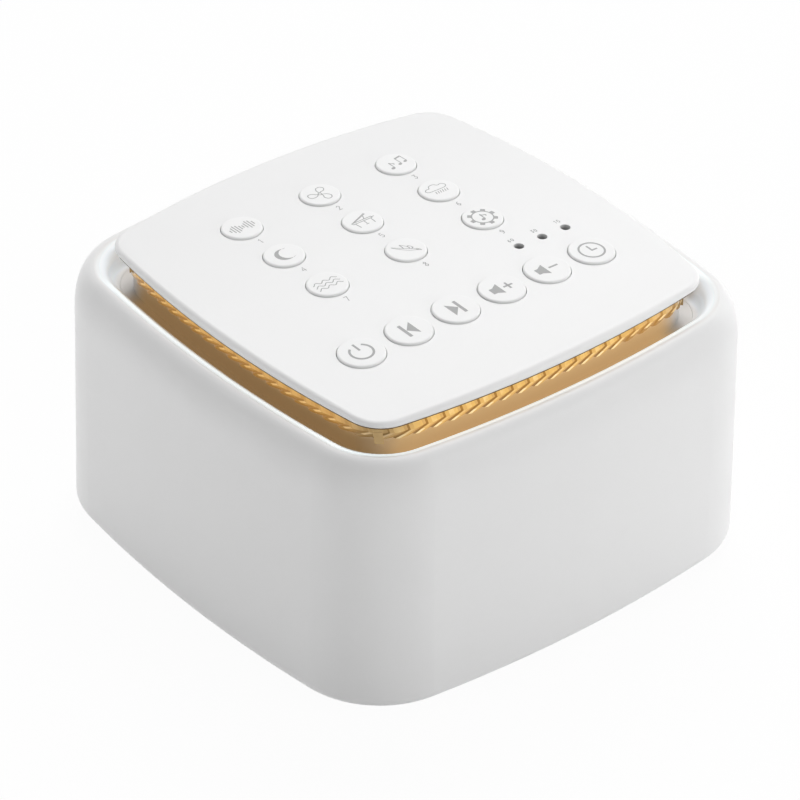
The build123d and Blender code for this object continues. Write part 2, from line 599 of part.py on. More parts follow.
# ---------------------------------------------------------------- control panel
def make_top_panel():
    """Domed panel with its button holes, the rib that centres the ring, and the bosses and posts below."""
    face = outline(PANEL_HALF, PANEL_SIDE_RADIUS, PANEL_CORNER_RADIUS)
    blank = prism(face, Z_PANEL, Z_PANEL + 2 * PANEL_EDGE) & dome()
    top_edges = blank.faces().sort_by(Axis.Z)[-1].outer_wire().edges()
    blank = fillet(top_edges, PANEL_TOP_ROUND)
    body = fillet(blank.faces().sort_by(Axis.Z)[0].outer_wire().edges(), PANEL_BOTTOM_ROUND)
    body += core_band(RIB_HALF, RIB_HALF - LOCATING_RIB_WALL, Z_PANEL - LOCATING_RIB_HEIGHT, Z_PANEL)
    for x, y in panel_bosses():
        body += post(x, y, PANEL_BOSS_RADIUS, Z_WELL, Z_PANEL)
        body -= small_pilot(x, y, Z_WELL - WELL_FLOOR, True)
    for x, y in board_posts():
        body += post(x, y, BOARD_POST_RADIUS, Z_BUTTON_BOARD, Z_PANEL)
        body -= small_pilot(x, y, Z_BUTTON_BOARD - BOARD_THICKNESS, True)
    for _, x, y, radius in all_buttons():
        body -= post(x, y, radius + CAP_GAP, Z_PANEL - CUT, Z_PANEL + 3 * PANEL_EDGE)
    for x, y in timer_lights():
        body -= post(x, y, TIMER_HOLE_RADIUS, Z_PANEL - CUT, Z_PANEL + 3 * PANEL_EDGE)
    return body


def make_button_cap(x, y, radius):
    """Button cap: domed disc with a rounded edge, a flange under the panel and a stem onto the switch."""
    disc = post(x, y, radius, Z_STEM, Z_PANEL + 3 * PANEL_EDGE) & dome(CAP_PROUD)
    disc = fillet(disc.faces().sort_by(Axis.Z)[-1].outer_wire().edges(), CAP_ROUND)
    flange = post(x, y, radius + CAP_FLANGE_REACH, Z_STEM, Z_FLANGE)
    return disc + flange + post(x, y, CAP_STEM_RADIUS, Z_PLUNGER, Z_STEM)


def make_plunger(x, y):
    """Plunger of one tact switch."""
    return post(x, y, PLUNGER_RADIUS, Z_SWITCH - PLUNGER_DEPTH, Z_PLUNGER)


def make_button_board():
    """Circuit board under the panel, notched around the panel's corner bosses."""
    board = prism(core_outline(WELL_HALF - BUTTON_BOARD_GAP), Z_BUTTON_BOARD - BOARD_THICKNESS, Z_BUTTON_BOARD)
    for x, y in panel_bosses():
        reach = 2 * (PANEL_BOSS_RADIUS + BUTTON_BOARD_GAP)
        outward = (x + (reach / 2 if x > 0 else -reach / 2), y + (reach / 2 if y > 0 else -reach / 2))
        board -= post(x, y, PANEL_BOSS_RADIUS + BUTTON_BOARD_GAP, 0, Z_PANEL)
        board -= block(outward[0], y, reach, reach, 0, Z_PANEL)
        board -= block(x, outward[1], reach, reach, 0, Z_PANEL)
    for x, y in board_posts():
        board -= small_clearance(x, y, Z_BUTTON_BOARD - BOARD_THICKNESS, Z_BUTTON_BOARD)
    return board


def make_switch_bodies():
    """Fifteen tact switch bodies on the button board, each bored for its plunger."""
    solids = []
    for _, x, y, _ in all_buttons():
        body = block(x, y, SWITCH_SIDE, SWITCH_SIDE, Z_BUTTON_BOARD, Z_SWITCH)
        solids.append(body - post(x, y, PLUNGER_RADIUS + PLUNGER_GAP, Z_SWITCH - SWITCH_BORE_DEPTH, Z_SWITCH + CUT))
    return solids


def make_timer_lights():
    """Three tall slim lights with round ends, standing on the button board."""
    solids = []
    for x, y in timer_lights():
        surface = Z_PANEL + PANEL_EDGE + (PANEL_HALF ** 2 - x ** 2 - y ** 2) / (2 * PANEL_DOME_RADIUS)
        light = post(x, y, TIMER_LIGHT_RADIUS, Z_BUTTON_BOARD, surface - TIMER_RECESS)
        solids.append(fillet(light.edges().group_by(Axis.Z)[-1], TIMER_LIGHT_RADIUS * 0.6))
    return solids


# ---------------------------------------------------------------- main board, socket and leads
def make_main_board():
    """Main circuit board at the back, with a tab that carries the power socket."""
    z0, z1 = Z_MAIN_BOARD - BOARD_THICKNESS, Z_MAIN_BOARD
    middle = (MAIN_BOARD_FRONT + MAIN_BOARD_BACK) / 2
    board = block(0, middle, MAIN_BOARD_WIDTH, MAIN_BOARD_DEPTH, z0, z1)
    tab_end = INNER_HALF - MAIN_BOARD_TAB_WALL_GAP
    board += block(0, (middle + tab_end) / 2, MAIN_BOARD_TAB_WIDTH, tab_end - middle, z0, z1)
    for x, y in main_board_posts():
        board -= small_clearance(x, y, z0, z1)
    return board


def lead_frame():
    """Place at the speaker's axis, turned so that its X axis points at the lead's plug; and the distance."""
    dx, dy = LEAD_PLUG_AT[0], MAIN_BOARD_FRONT + LEAD_PLUG_AT[1] - SPEAKER_Y
    return Pos(0, SPEAKER_Y, 0) * Rot(0, 0, degrees(atan2(dy, dx))), hypot(dx, dy)


def make_board_components():
    """Chips, capacitors and connectors, each a separate solid on its board."""
    z = Z_MAIN_BOARD
    solids = [block(x, MAIN_BOARD_FRONT + y, side, side, z, z + CHIP_HEIGHT) for x, y, side in CHIPS]
    for x, y in CAPACITORS:
        can = post(x, MAIN_BOARD_FRONT + y, CAPACITOR_RADIUS, z, z + CAPACITOR_HEIGHT)
        solids.append(fillet(can.edges().group_by(Axis.Z)[-1], CAPACITOR_RADIUS / 6))
    width = RIBBON_WIDTH + 2 * CONNECTOR_RIM
    under = Z_BUTTON_BOARD - BOARD_THICKNESS
    solids.append(block(0, RIBBON_Y, width, CONNECTOR_DEPTH, z, z + CONNECTOR_HEIGHT))
    solids.append(block(0, RIBBON_Y, width, CONNECTOR_DEPTH, under - CONNECTOR_HEIGHT, under))
    frame, distance = lead_frame()
    solids.append(frame * block(distance, 0, LEAD_PLUG_SIDE, LEAD_PLUG_SIDE, z, z + LEAD_PLUG_HEIGHT))
    return solids


def make_panel_ribbon():
    """Flat ribbon from the main board up to the button board, bowed a little to the back for slack."""
    z0 = Z_MAIN_BOARD + CONNECTOR_HEIGHT
    z1 = Z_BUTTON_BOARD - BOARD_THICKNESS - CONNECTOR_HEIGHT
    z2 = Z_WELL_BOTTOM - RIBBON_STRAIGHT
    quarter = (z2 - z0 - RIBBON_STRAIGHT) / 4
    turn = 2 * atan2(RIBBON_BOW / 2, quarter)
    radius = quarter / sin(turn)
    rise = Line((RIBBON_Y, z0), (RIBBON_Y, z0 + RIBBON_STRAIGHT))
    out = JernArc(rise @ 1, rise % 1, radius, -degrees(turn))
    over = JernArc(out @ 1, out % 1, radius, 2 * degrees(turn))
    back = JernArc(over @ 1, over % 1, radius, -degrees(turn))
    end = Line(back @ 1, (RIBBON_Y, z1))
    strip = trace([rise, out, over, back, end], line_width=RIBBON_THICKNESS)
    return extrude(Plane.YZ * strip, RIBBON_WIDTH / 2, both=True)


def make_speaker_lead():
    """Flat twin lead from the rear of the speaker's frame down to its plug on the main board."""
    frame, distance = lead_frame()
    start = (BASKET_REAR_RADIUS, Z_SPEAKER + BASKET_DEPTH - BASKET_WALL / 2)
    end = (distance - LEAD_PLUG_SIDE / 2, Z_MAIN_BOARD + LEAD_PLUG_HEIGHT / 2)
    turn = 2 * atan2(start[1] - end[1], end[0] - start[0])
    radius = (end[0] - start[0]) / 2 / sin(turn)
    fall = JernArc(start, (1, 0), radius, -degrees(turn))
    level = JernArc(fall @ 1, fall % 1, radius, degrees(turn))
    strip = trace([fall, level], line_width=LEAD_THICKNESS)
    return frame * extrude(Plane.XZ * strip, LEAD_WIDTH / 2, both=True)


def make_socket_shell():
    """Metal shell of the power socket, closed at its rear."""
    rear = SOCKET_MOUTH - SOCKET_LENGTH
    shell = socket_bar(SOCKET_WIDTH, SOCKET_HEIGHT, rear, SOCKET_LENGTH)
    hollow = socket_bar(SOCKET_WIDTH - 2 * SOCKET_WALL, SOCKET_HEIGHT - 2 * SOCKET_WALL,
                        rear + SOCKET_BACK_WALL, SOCKET_LENGTH)
    return shell - hollow


def make_socket_tongue():
    """Contact tongue in the middle of the socket."""
    length = SOCKET_LENGTH - SOCKET_BACK_WALL - TONGUE_SETBACK
    y = SOCKET_MOUTH - TONGUE_SETBACK - length / 2
    half = TONGUE_THICKNESS / 2
    return block(0, y, TONGUE_WIDTH, length, Z_SOCKET - half, Z_SOCKET + half)


# ---------------------------------------------------------------- fasteners inside
def make_inner_screws():
    """Small screws: deck, panel, button board, main board and speaker."""
    solids = [small_screw(x, y, Z_LIP_BOTTOM, True) for x, y in deck_screws()]
    solids += [small_screw(x, y, Z_WELL_BOTTOM, True) for x, y in panel_bosses()]
    solids += [small_screw(x, y, Z_BUTTON_BOARD - BOARD_THICKNESS, True) for x, y in board_posts()]
    solids += [small_screw(x, y, Z_MAIN_BOARD, False) for x, y in main_board_posts()]
    solids += [small_screw(x, y, Z_SPEAKER + FLANGE_THICKNESS, False) for x, y in speaker_ears()]
    return solids


# ---------------------------------------------------------------- speaker
def speaker_turned(points):
    """Solid of revolution about the speaker's axis, from (radius, depth behind its face) points."""
    return turned([(r, Z_SPEAKER + depth) for r, depth in points], 0, SPEAKER_Y)


def make_speaker_gasket():
    """Foam ring between the spacer ring and the speaker."""
    return speaker_turned([(FLANGE_RADIUS - SPACER_WALL, -GASKET_THICKNESS), (FLANGE_RADIUS, -GASKET_THICKNESS),
                           (FLANGE_RADIUS, 0), (FLANGE_RADIUS - SPACER_WALL, 0)])


def make_speaker_frame():
    """Basket: flange with ears, landing shelf, windowed cone wall, spider shelf and rear ring."""
    landing = FLANGE_THICKNESS + LANDING_THICKNESS
    rear = BASKET_REAR_RADIUS
    body = speaker_turned([
        (FLANGE_BORE, 0), (FLANGE_RADIUS, 0), (FLANGE_RADIUS, FLANGE_THICKNESS),
        (FLANGE_BORE + BASKET_WALL, FLANGE_THICKNESS), (FLANGE_BORE + BASKET_WALL, landing + BASKET_WALL / 3),
        (rear, SPIDER_SHELF_DEPTH - BASKET_WALL / 3), (rear, BASKET_DEPTH), (MAGNET_BORE, BASKET_DEPTH),
        (MAGNET_BORE, BASKET_DEPTH - BASKET_WALL), (SPIDER_SHELF_BORE, BASKET_DEPTH - BASKET_WALL),
        (SPIDER_SHELF_BORE, SPIDER_SHELF_DEPTH), (rear - BASKET_WALL, SPIDER_SHELF_DEPTH),
        (rear - BASKET_WALL, SPIDER_SHELF_DEPTH - BASKET_WALL), (FLANGE_BORE, landing), (LANDING_BORE, landing),
        (LANDING_BORE, FLANGE_THICKNESS), (FLANGE_BORE, FLANGE_THICKNESS)])
    for index in range(BASKET_WINDOWS):
        z0, z1 = Z_SPEAKER + BASKET_WINDOW_Z[0], Z_SPEAKER + BASKET_WINDOW_Z[1]
        window = block(FLANGE_BORE, 0, BASKET_WINDOW_WIDTH, BASKET_WINDOW_WIDTH, z0, z1)
        body -= Pos(0, SPEAKER_Y, 0) * Rot(0, 0, index * 360 / BASKET_WINDOWS) * window
    for x, y in speaker_ears():
        z1 = Z_SPEAKER + FLANGE_THICKNESS
        body += post(x, y, EAR_RADIUS, Z_SPEAKER, z1) - post(0, SPEAKER_Y, FLANGE_RADIUS - 0.5, Z_SPEAKER, z1)
        body -= small_clearance(x, y, Z_SPEAKER, z1)
    return body


def make_front_plate():
    """Steel washer in front of the magnet."""
    return speaker_turned([(PLATE_BORE, BASKET_DEPTH), (PLATE_RADIUS, BASKET_DEPTH),
                           (PLATE_RADIUS, BASKET_DEPTH + PLATE_THICKNESS), (PLATE_BORE, BASKET_DEPTH + PLATE_THICKNESS)])


def make_magnet():
    """Ferrite ring magnet."""
    z0 = BASKET_DEPTH + PLATE_THICKNESS
    z1 = z0 + MAGNET_THICKNESS
    return speaker_turned([(MAGNET_BORE, z0), (MAGNET_RADIUS, z0), (MAGNET_RADIUS, z1), (MAGNET_BORE, z1)])


def make_yoke():
    """Steel back plate with its pole."""
    z0 = BASKET_DEPTH + PLATE_THICKNESS + MAGNET_THICKNESS
    z1 = z0 + YOKE_THICKNESS
    return speaker_turned([(0, BASKET_DEPTH), (POLE_RADIUS, BASKET_DEPTH), (POLE_RADIUS, z0), (YOKE_RADIUS, z0),
                           (YOKE_RADIUS, z1), (0, z1)])


def make_surround():
    """Rubber half roll between the frame and the cone, with a flat glued ring on each side."""
    flat = FLANGE_THICKNESS - ROLL_THICKNESS
    outer, inner = ROLL_CENTRE + ROLL_RADIUS, ROLL_CENTRE - ROLL_RADIUS
    thin = ROLL_RADIUS - ROLL_THICKNESS
    level = Z_SPEAKER + FLANGE_THICKNESS
    edges = [
        Polyline((outer, level), (FLANGE_BORE - FIT_GAP, level), (FLANGE_BORE - FIT_GAP, Z_SPEAKER + flat),
                 (outer - 0.03, Z_SPEAKER + flat)),
        ThreePointArc((outer - 0.03, Z_SPEAKER + flat), (ROLL_CENTRE, level - ROLL_RADIUS),
                      (inner + 0.03, Z_SPEAKER + flat)),
        Polyline((inner + 0.03, Z_SPEAKER + flat), (CONE_EDGE_RADIUS - CONE_GLUE_WIDTH, Z_SPEAKER + flat),
                 (CONE_EDGE_RADIUS - CONE_GLUE_WIDTH, level), (ROLL_CENTRE - thin, level)),
        ThreePointArc((ROLL_CENTRE - thin, level), (ROLL_CENTRE, level - thin), (ROLL_CENTRE + thin, level)),
        Line((ROLL_CENTRE + thin, level), (outer, level)),
    ]
    return Pos(0, SPEAKER_Y, 0) * revolve(Plane.XZ * make_face(edges), Axis.Z)


def make_spider():
    """Corrugated ring that centres the voice coil."""
    inner = COIL_FORMER_INNER + COIL_FORMER_WALL
    outer = BASKET_REAR_RADIUS - BASKET_WALL
    land = SPIDER_SHELF_BORE
    step = (land - inner) / (2 * SPIDER_WAVES)
    level = SPIDER_SHELF_DEPTH
    top = [(outer, level), (land, level)]
    for index in range(1, 2 * SPIDER_WAVES):
        top.append((land - index * step, level + (SPIDER_WAVE if index % 2 else -SPIDER_WAVE)))
    top.append((inner, level))
    bottom = [(r, z - SPIDER_THICKNESS) for r, z in reversed(top)]
    return speaker_turned(top + bottom)


def cone_depth(radius):
    """Depth of the cone's front surface at a radius."""
    neck = COIL_FORMER_INNER + COIL_FORMER_WALL
    share = (CONE_EDGE_RADIUS - radius) / (CONE_EDGE_RADIUS - neck)
    return FLANGE_THICKNESS + share * (CONE_NECK_DEPTH - FLANGE_THICKNESS)


def make_cone():
    """Paper cone with a flat edge under the surround and a short neck on the voice coil."""
    neck = COIL_FORMER_INNER + COIL_FORMER_WALL
    lift = CONE_THICKNESS * hypot(1, (CONE_NECK_DEPTH - FLANGE_THICKNESS) / (CONE_EDGE_RADIUS - neck))
    glue = CONE_EDGE_RADIUS - CONE_GLUE_WIDTH
    return speaker_turned([(neck, cone_depth(neck)), (glue, cone_depth(glue)), (glue, FLANGE_THICKNESS),
                           (CONE_EDGE_RADIUS, FLANGE_THICKNESS),
                           (CONE_EDGE_RADIUS, FLANGE_THICKNESS + lift), (neck, cone_depth(neck) + lift)])


def make_dust_cap():
    """Domed cap glued over the middle of the cone."""
    rim = cone_depth(DUST_CAP_RADIUS) - DUST_CAP_GAP
    ball = (DUST_CAP_RADIUS ** 2 + DUST_CAP_RISE ** 2) / (2 * DUST_CAP_RISE)
    centre = rim - DUST_CAP_RISE + ball
    steps = 8
    top = [(DUST_CAP_RADIUS * index / steps) for index in range(steps + 1)]
    front = [(r, centre - sqrt(ball ** 2 - r ** 2)) for r in top]
    inner_radius = DUST_CAP_RADIUS - DUST_CAP_THICKNESS
    inner_ball = ball - DUST_CAP_THICKNESS
    back = [(r, centre - sqrt(inner_ball ** 2 - r ** 2)) for r in
            [inner_radius * (steps - index) / steps for index in range(steps + 1)]]
    return speaker_turned(front + back)


def make_voice_coil():
    """Coil former with its winding."""
    inner = COIL_FORMER_INNER
    outer = inner + COIL_FORMER_WALL
    wound = outer + COIL_WINDING
    return speaker_turned([(inner, CONE_NECK_DEPTH - CONE_THICKNESS), (outer, CONE_NECK_DEPTH - CONE_THICKNESS),
                           (outer, WINDING_START_DEPTH), (wound, WINDING_START_DEPTH), (wound, COIL_END_DEPTH),
                           (inner, COIL_END_DEPTH)])


# ---------------------------------------------------------------- all nodes
def build_nodes():
    """Every node of the assembly by name."""
    nodes = {
        "outer_housing": make_outer_housing(),
        "base_cover": make_base_cover(),
        "rubber_feet": make_rubber_feet(),
        "base_screws": make_base_screws(),
        "inner_screws": make_inner_screws(),
        "light_deck": make_light_deck(),
        "light_ring": make_light_ring(),
        "lamp_board": make_lamp_board(),
        "ring_lamps": make_ring_lamps(),
        "top_panel": make_top_panel(),
        "button_board": make_button_board(),
        "switch_bodies": make_switch_bodies(),
        "timer_lights": make_timer_lights(),
        "main_board": make_main_board(),
        "board_components": make_board_components(),
        "panel_ribbon": make_panel_ribbon(),
        "speaker_lead": make_speaker_lead(),
        "power_socket_shell": make_socket_shell(),
        "power_socket_tongue": make_socket_tongue(),
        "speaker_gasket": make_speaker_gasket(),
        "speaker_frame": make_speaker_frame(),
        "speaker_front_plate": make_front_plate(),
        "speaker_magnet": make_magnet(),
        "speaker_yoke": make_yoke(),
        "speaker_surround": make_surround(),
        "speaker_spider": make_spider(),
        "speaker_cone": make_cone(),
        "speaker_dust_cap": make_dust_cap(),
        "speaker_voice_coil": make_voice_coil(),
    }
    for name, x, y, radius in all_buttons():
        nodes[f"button_{name}"] = make_button_cap(x, y, radius)
        nodes[f"plunger_{name}"] = make_plunger(x, y)
    return nodes


def write_nodes(nodes):
    """Write each node to its own STEP file."""
    os.makedirs("parts", exist_ok=True)
    for name, shape in nodes.items():
        solids = shape if isinstance(shape, list) else [shape]
        export_step(Compound(children=[s for item in solids for s in item.solids()]), f"parts/{name}.step")


write_nodes(build_nodes())
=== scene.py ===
"""Looks of a square bedside sound machine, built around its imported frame.

Lengths are in millimetres until a mesh is made, and in metres for lamps.
"""
import json
import logging
import math
from dataclasses import dataclass, field
from enum import Enum
from functools import lru_cache
from typing import Iterable, Optional, Sequence, Union

import bmesh
import bpy
from mathutils import Matrix, Vector

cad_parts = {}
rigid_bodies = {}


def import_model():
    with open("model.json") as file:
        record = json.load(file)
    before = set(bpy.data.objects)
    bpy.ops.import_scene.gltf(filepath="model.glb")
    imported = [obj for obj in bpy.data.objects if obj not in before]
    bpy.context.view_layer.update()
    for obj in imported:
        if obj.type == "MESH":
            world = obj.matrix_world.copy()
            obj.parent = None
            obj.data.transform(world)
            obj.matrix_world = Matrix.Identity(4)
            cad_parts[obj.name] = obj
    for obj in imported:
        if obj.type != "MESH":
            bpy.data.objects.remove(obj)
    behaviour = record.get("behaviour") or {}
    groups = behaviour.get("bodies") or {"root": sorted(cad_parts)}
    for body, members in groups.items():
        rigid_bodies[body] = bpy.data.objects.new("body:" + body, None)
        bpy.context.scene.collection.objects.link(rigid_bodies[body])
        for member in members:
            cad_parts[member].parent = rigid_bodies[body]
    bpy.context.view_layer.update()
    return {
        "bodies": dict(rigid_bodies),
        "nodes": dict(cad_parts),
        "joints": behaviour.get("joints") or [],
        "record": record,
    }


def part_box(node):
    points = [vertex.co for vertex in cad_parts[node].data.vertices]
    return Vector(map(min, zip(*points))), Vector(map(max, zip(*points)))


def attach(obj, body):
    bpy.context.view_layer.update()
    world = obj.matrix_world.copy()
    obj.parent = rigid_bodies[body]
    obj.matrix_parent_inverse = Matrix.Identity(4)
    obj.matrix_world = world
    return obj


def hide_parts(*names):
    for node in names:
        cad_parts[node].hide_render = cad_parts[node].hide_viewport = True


LOG = logging.getLogger("sound_machine")
MM = 0.001
TINY = 1e-9
Colour = tuple[float, float, float]
Point = tuple[float, float]
Place = tuple[float, float, float]
Span = tuple[float, float]


# ------------------------------------------------------------------ shader tools
class Signal:
    """A shader socket that takes part in Python sums: each operator adds the node that does it."""

    def __init__(self, recipe: "Recipe", socket: bpy.types.NodeSocket) -> None:
        """Wraps one output socket of a recipe."""
        self.recipe = recipe
        self.socket = socket

    def _math(self, operation: str, first: "Value", second: "Value" = 0.0) -> "Signal":
        """Adds a Math node.

        Args:
            operation: name of the sum.
            first: left side.
            second: right side.

        Returns:
            The result of the sum.
        """
        return self.recipe.add("ShaderNodeMath", {"operation": operation}, {0: first, 1: second})

    def __add__(self, other: "Value") -> "Signal":
        """Sum."""
        return self._math("ADD", self, other)

    def __radd__(self, other: "Value") -> "Signal":
        """Sum with the signal on the right."""
        return self._math("ADD", other, self)

    def __sub__(self, other: "Value") -> "Signal":
        """Difference."""
        return self._math("SUBTRACT", self, other)

    def __rsub__(self, other: "Value") -> "Signal":
        """Difference with the signal on the right."""
        return self._math("SUBTRACT", other, self)

    def __mul__(self, other: "Value") -> "Signal":
        """Product."""
        return self._math("MULTIPLY", self, other)

    def __rmul__(self, other: "Value") -> "Signal":
        """Product with the signal on the right."""
        return self._math("MULTIPLY", other, self)

    def __truediv__(self, other: "Value") -> "Signal":
        """Quotient."""
        return self._math("DIVIDE", self, other)

    def __rtruediv__(self, other: "Value") -> "Signal":
        """Quotient with the signal below the line."""
        return self._math("DIVIDE", other, self)

    def __abs__(self) -> "Signal":
        """Size without sign."""
        return self._math("ABSOLUTE", self)

    def lower(self, other: "Value") -> "Signal":
        """The lower of two values."""
        return self._math("MINIMUM", self, other)

    def upper(self, other: "Value") -> "Signal":
        """The higher of two values."""
        return self._math("MAXIMUM", self, other)

    def wrap(self, period: float) -> "Signal":
        """Position inside a repeating period, from 0 to the period."""
        return self.recipe.add("ShaderNodeMath", {"operation": "WRAP"}, {0: self, 1: period, 2: 0.0})

    def ramp(self, start: float, end: float) -> "Signal":
        """Smooth step from 0 at start to 1 at end.

        Args:
            start: value where the step begins.
            end: value where it is complete; it may be below start.

        Returns:
            The stepped signal.
        """
        settings = {"interpolation_type": "SMOOTHSTEP"}
        low, high, first, last = (start, end, 0.0, 1.0) if start < end else (end, start, 1.0, 0.0)
        return self.recipe.add("ShaderNodeMapRange", settings, {0: self, 1: low, 2: high, 3: first, 4: last})


Value = Union[Signal, float, Colour]


class Recipe:
    """The node tree of one material, filled by one method."""

    def __init__(self, tree: bpy.types.NodeTree) -> None:
        """Starts an empty tree."""
        self.tree = tree
        tree.nodes.clear()

    def add(self, kind: str, settings: dict[str, object], inputs: dict[Union[int, str], object],
            output: Union[int, str] = 0) -> Signal:
        """Makes any node.

        Args:
            kind: node type.
            settings: node properties, set first; "stops" fills a colour ramp.
            inputs: values or signals by socket.
            output: the output socket to hand back.

        Returns:
            The chosen output as a signal.
        """
        node = self.tree.nodes.new(kind)
        for name, value in settings.items():
            if name == "stops":
                self._fill_ramp(node, value)
            else:
                setattr(node, name, value)
        for key, value in inputs.items():
            if isinstance(value, Signal):
                self.tree.links.new(value.socket, node.inputs[key])
            else:
                node.inputs[key].default_value = self._padded(node.inputs[key], value)
        return Signal(self, node.outputs[output] if len(node.outputs) else None)

    @staticmethod
    def _padded(socket: bpy.types.NodeSocket, value: object) -> object:
        """Gives a colour its fourth number where the socket wants one."""
        return (*value, 1.0) if socket.type == "RGBA" and len(value) == 3 else value

    @staticmethod
    def _fill_ramp(node: bpy.types.Node, stops: Sequence[tuple[float, Colour]]) -> None:
        """Writes a ramp's stops.

        Args:
            node: the ramp.
            stops: position and colour of each stop.
        """
        elements = node.color_ramp.elements
        while len(elements) < len(stops):
            elements.new(1.0)
        for element, (position, colour) in zip(elements, stops):
            element.position = position
            element.color = (*colour, 1.0)

    def mix(self, amount: Value, low: Value, high: Value) -> Signal:
        """Blends two colours.

        Args:
            amount: 0 for the first colour, 1 for the second.
            low: first colour.
            high: second colour.

        Returns:
            The blended colour.
        """
        return self.add("ShaderNodeMix", {"data_type": "RGBA"}, {0: amount, 6: low, 7: high}, 2)

    def place(self) -> Signal:
        """Position in the frame, in metres."""
        return self.add("ShaderNodeTexCoord", {}, {}, "Object")

    def axes(self) -> tuple[Signal, Signal, Signal]:
        """The three parts of the position, in millimetres.

        Returns:
            X, Y and Z.
        """
        split = self.add("ShaderNodeSeparateXYZ", {}, {0: self.place()}, 0)
        node = split.socket.node
        return tuple(Signal(self, node.outputs[index]) * (1 / MM) for index in range(3))

    def noise(self, size_mm: float, detail: float = 2.0, stretch: Place = (1.0, 1.0, 1.0)) -> Signal:
        """Noise whose blotches have a real size.

        Args:
            size_mm: size of a blotch.
            detail: finer octaves.
            stretch: scale along each axis, for brushed or woven surfaces.

        Returns:
            Noise from 0 to 1.
        """
        mapped = self.add("ShaderNodeMapping", {}, {0: self.place(), "Scale": stretch})
        inputs = {"Vector": mapped, "Scale": 1 / (size_mm * MM), "Detail": detail}
        return self.add("ShaderNodeTexNoise", {}, inputs)

    def reach(self, side_radius: float, corner: float) -> Signal:
        """Half width of the rounded square that passes through a point, in millimetres.

        Args:
            side_radius: radius of its bulged sides.
            corner: half width less the radius of its corners.

        Returns:
            The half width.
        """
        x, y, _ = self.axes()
        wide, deep = abs(x), abs(y)
        across, along = wide + deep * deep * (0.5 / side_radius), deep + wide * wide * (0.5 / side_radius)
        right, back = (across - corner).upper(0.0), (along - corner).upper(0.0)
        round_part = self.add("ShaderNodeMath", {"operation": "SQRT"}, {0: right * right + back * back})
        return across.upper(along).lower(corner) + round_part

    def relief(self, height: Value, depth_mm: float) -> Signal:
        """Bump for the Normal socket.

        Args:
            height: height signal from 0 to 1.
            depth_mm: real depth of the relief, in millimetres.

        Returns:
            The bent normal.
        """
        return self.add("ShaderNodeBump", {}, {"Height": height, "Distance": depth_mm * MM, "Strength": 1.0})


class Grain(Enum):
    """Surface structures."""

    MOULDED = "moulded"
    SATIN = "satin"
    BRUSHED = "brushed"
    WOVEN = "woven"
    PULP = "pulp"
    TRACKS = "tracks"


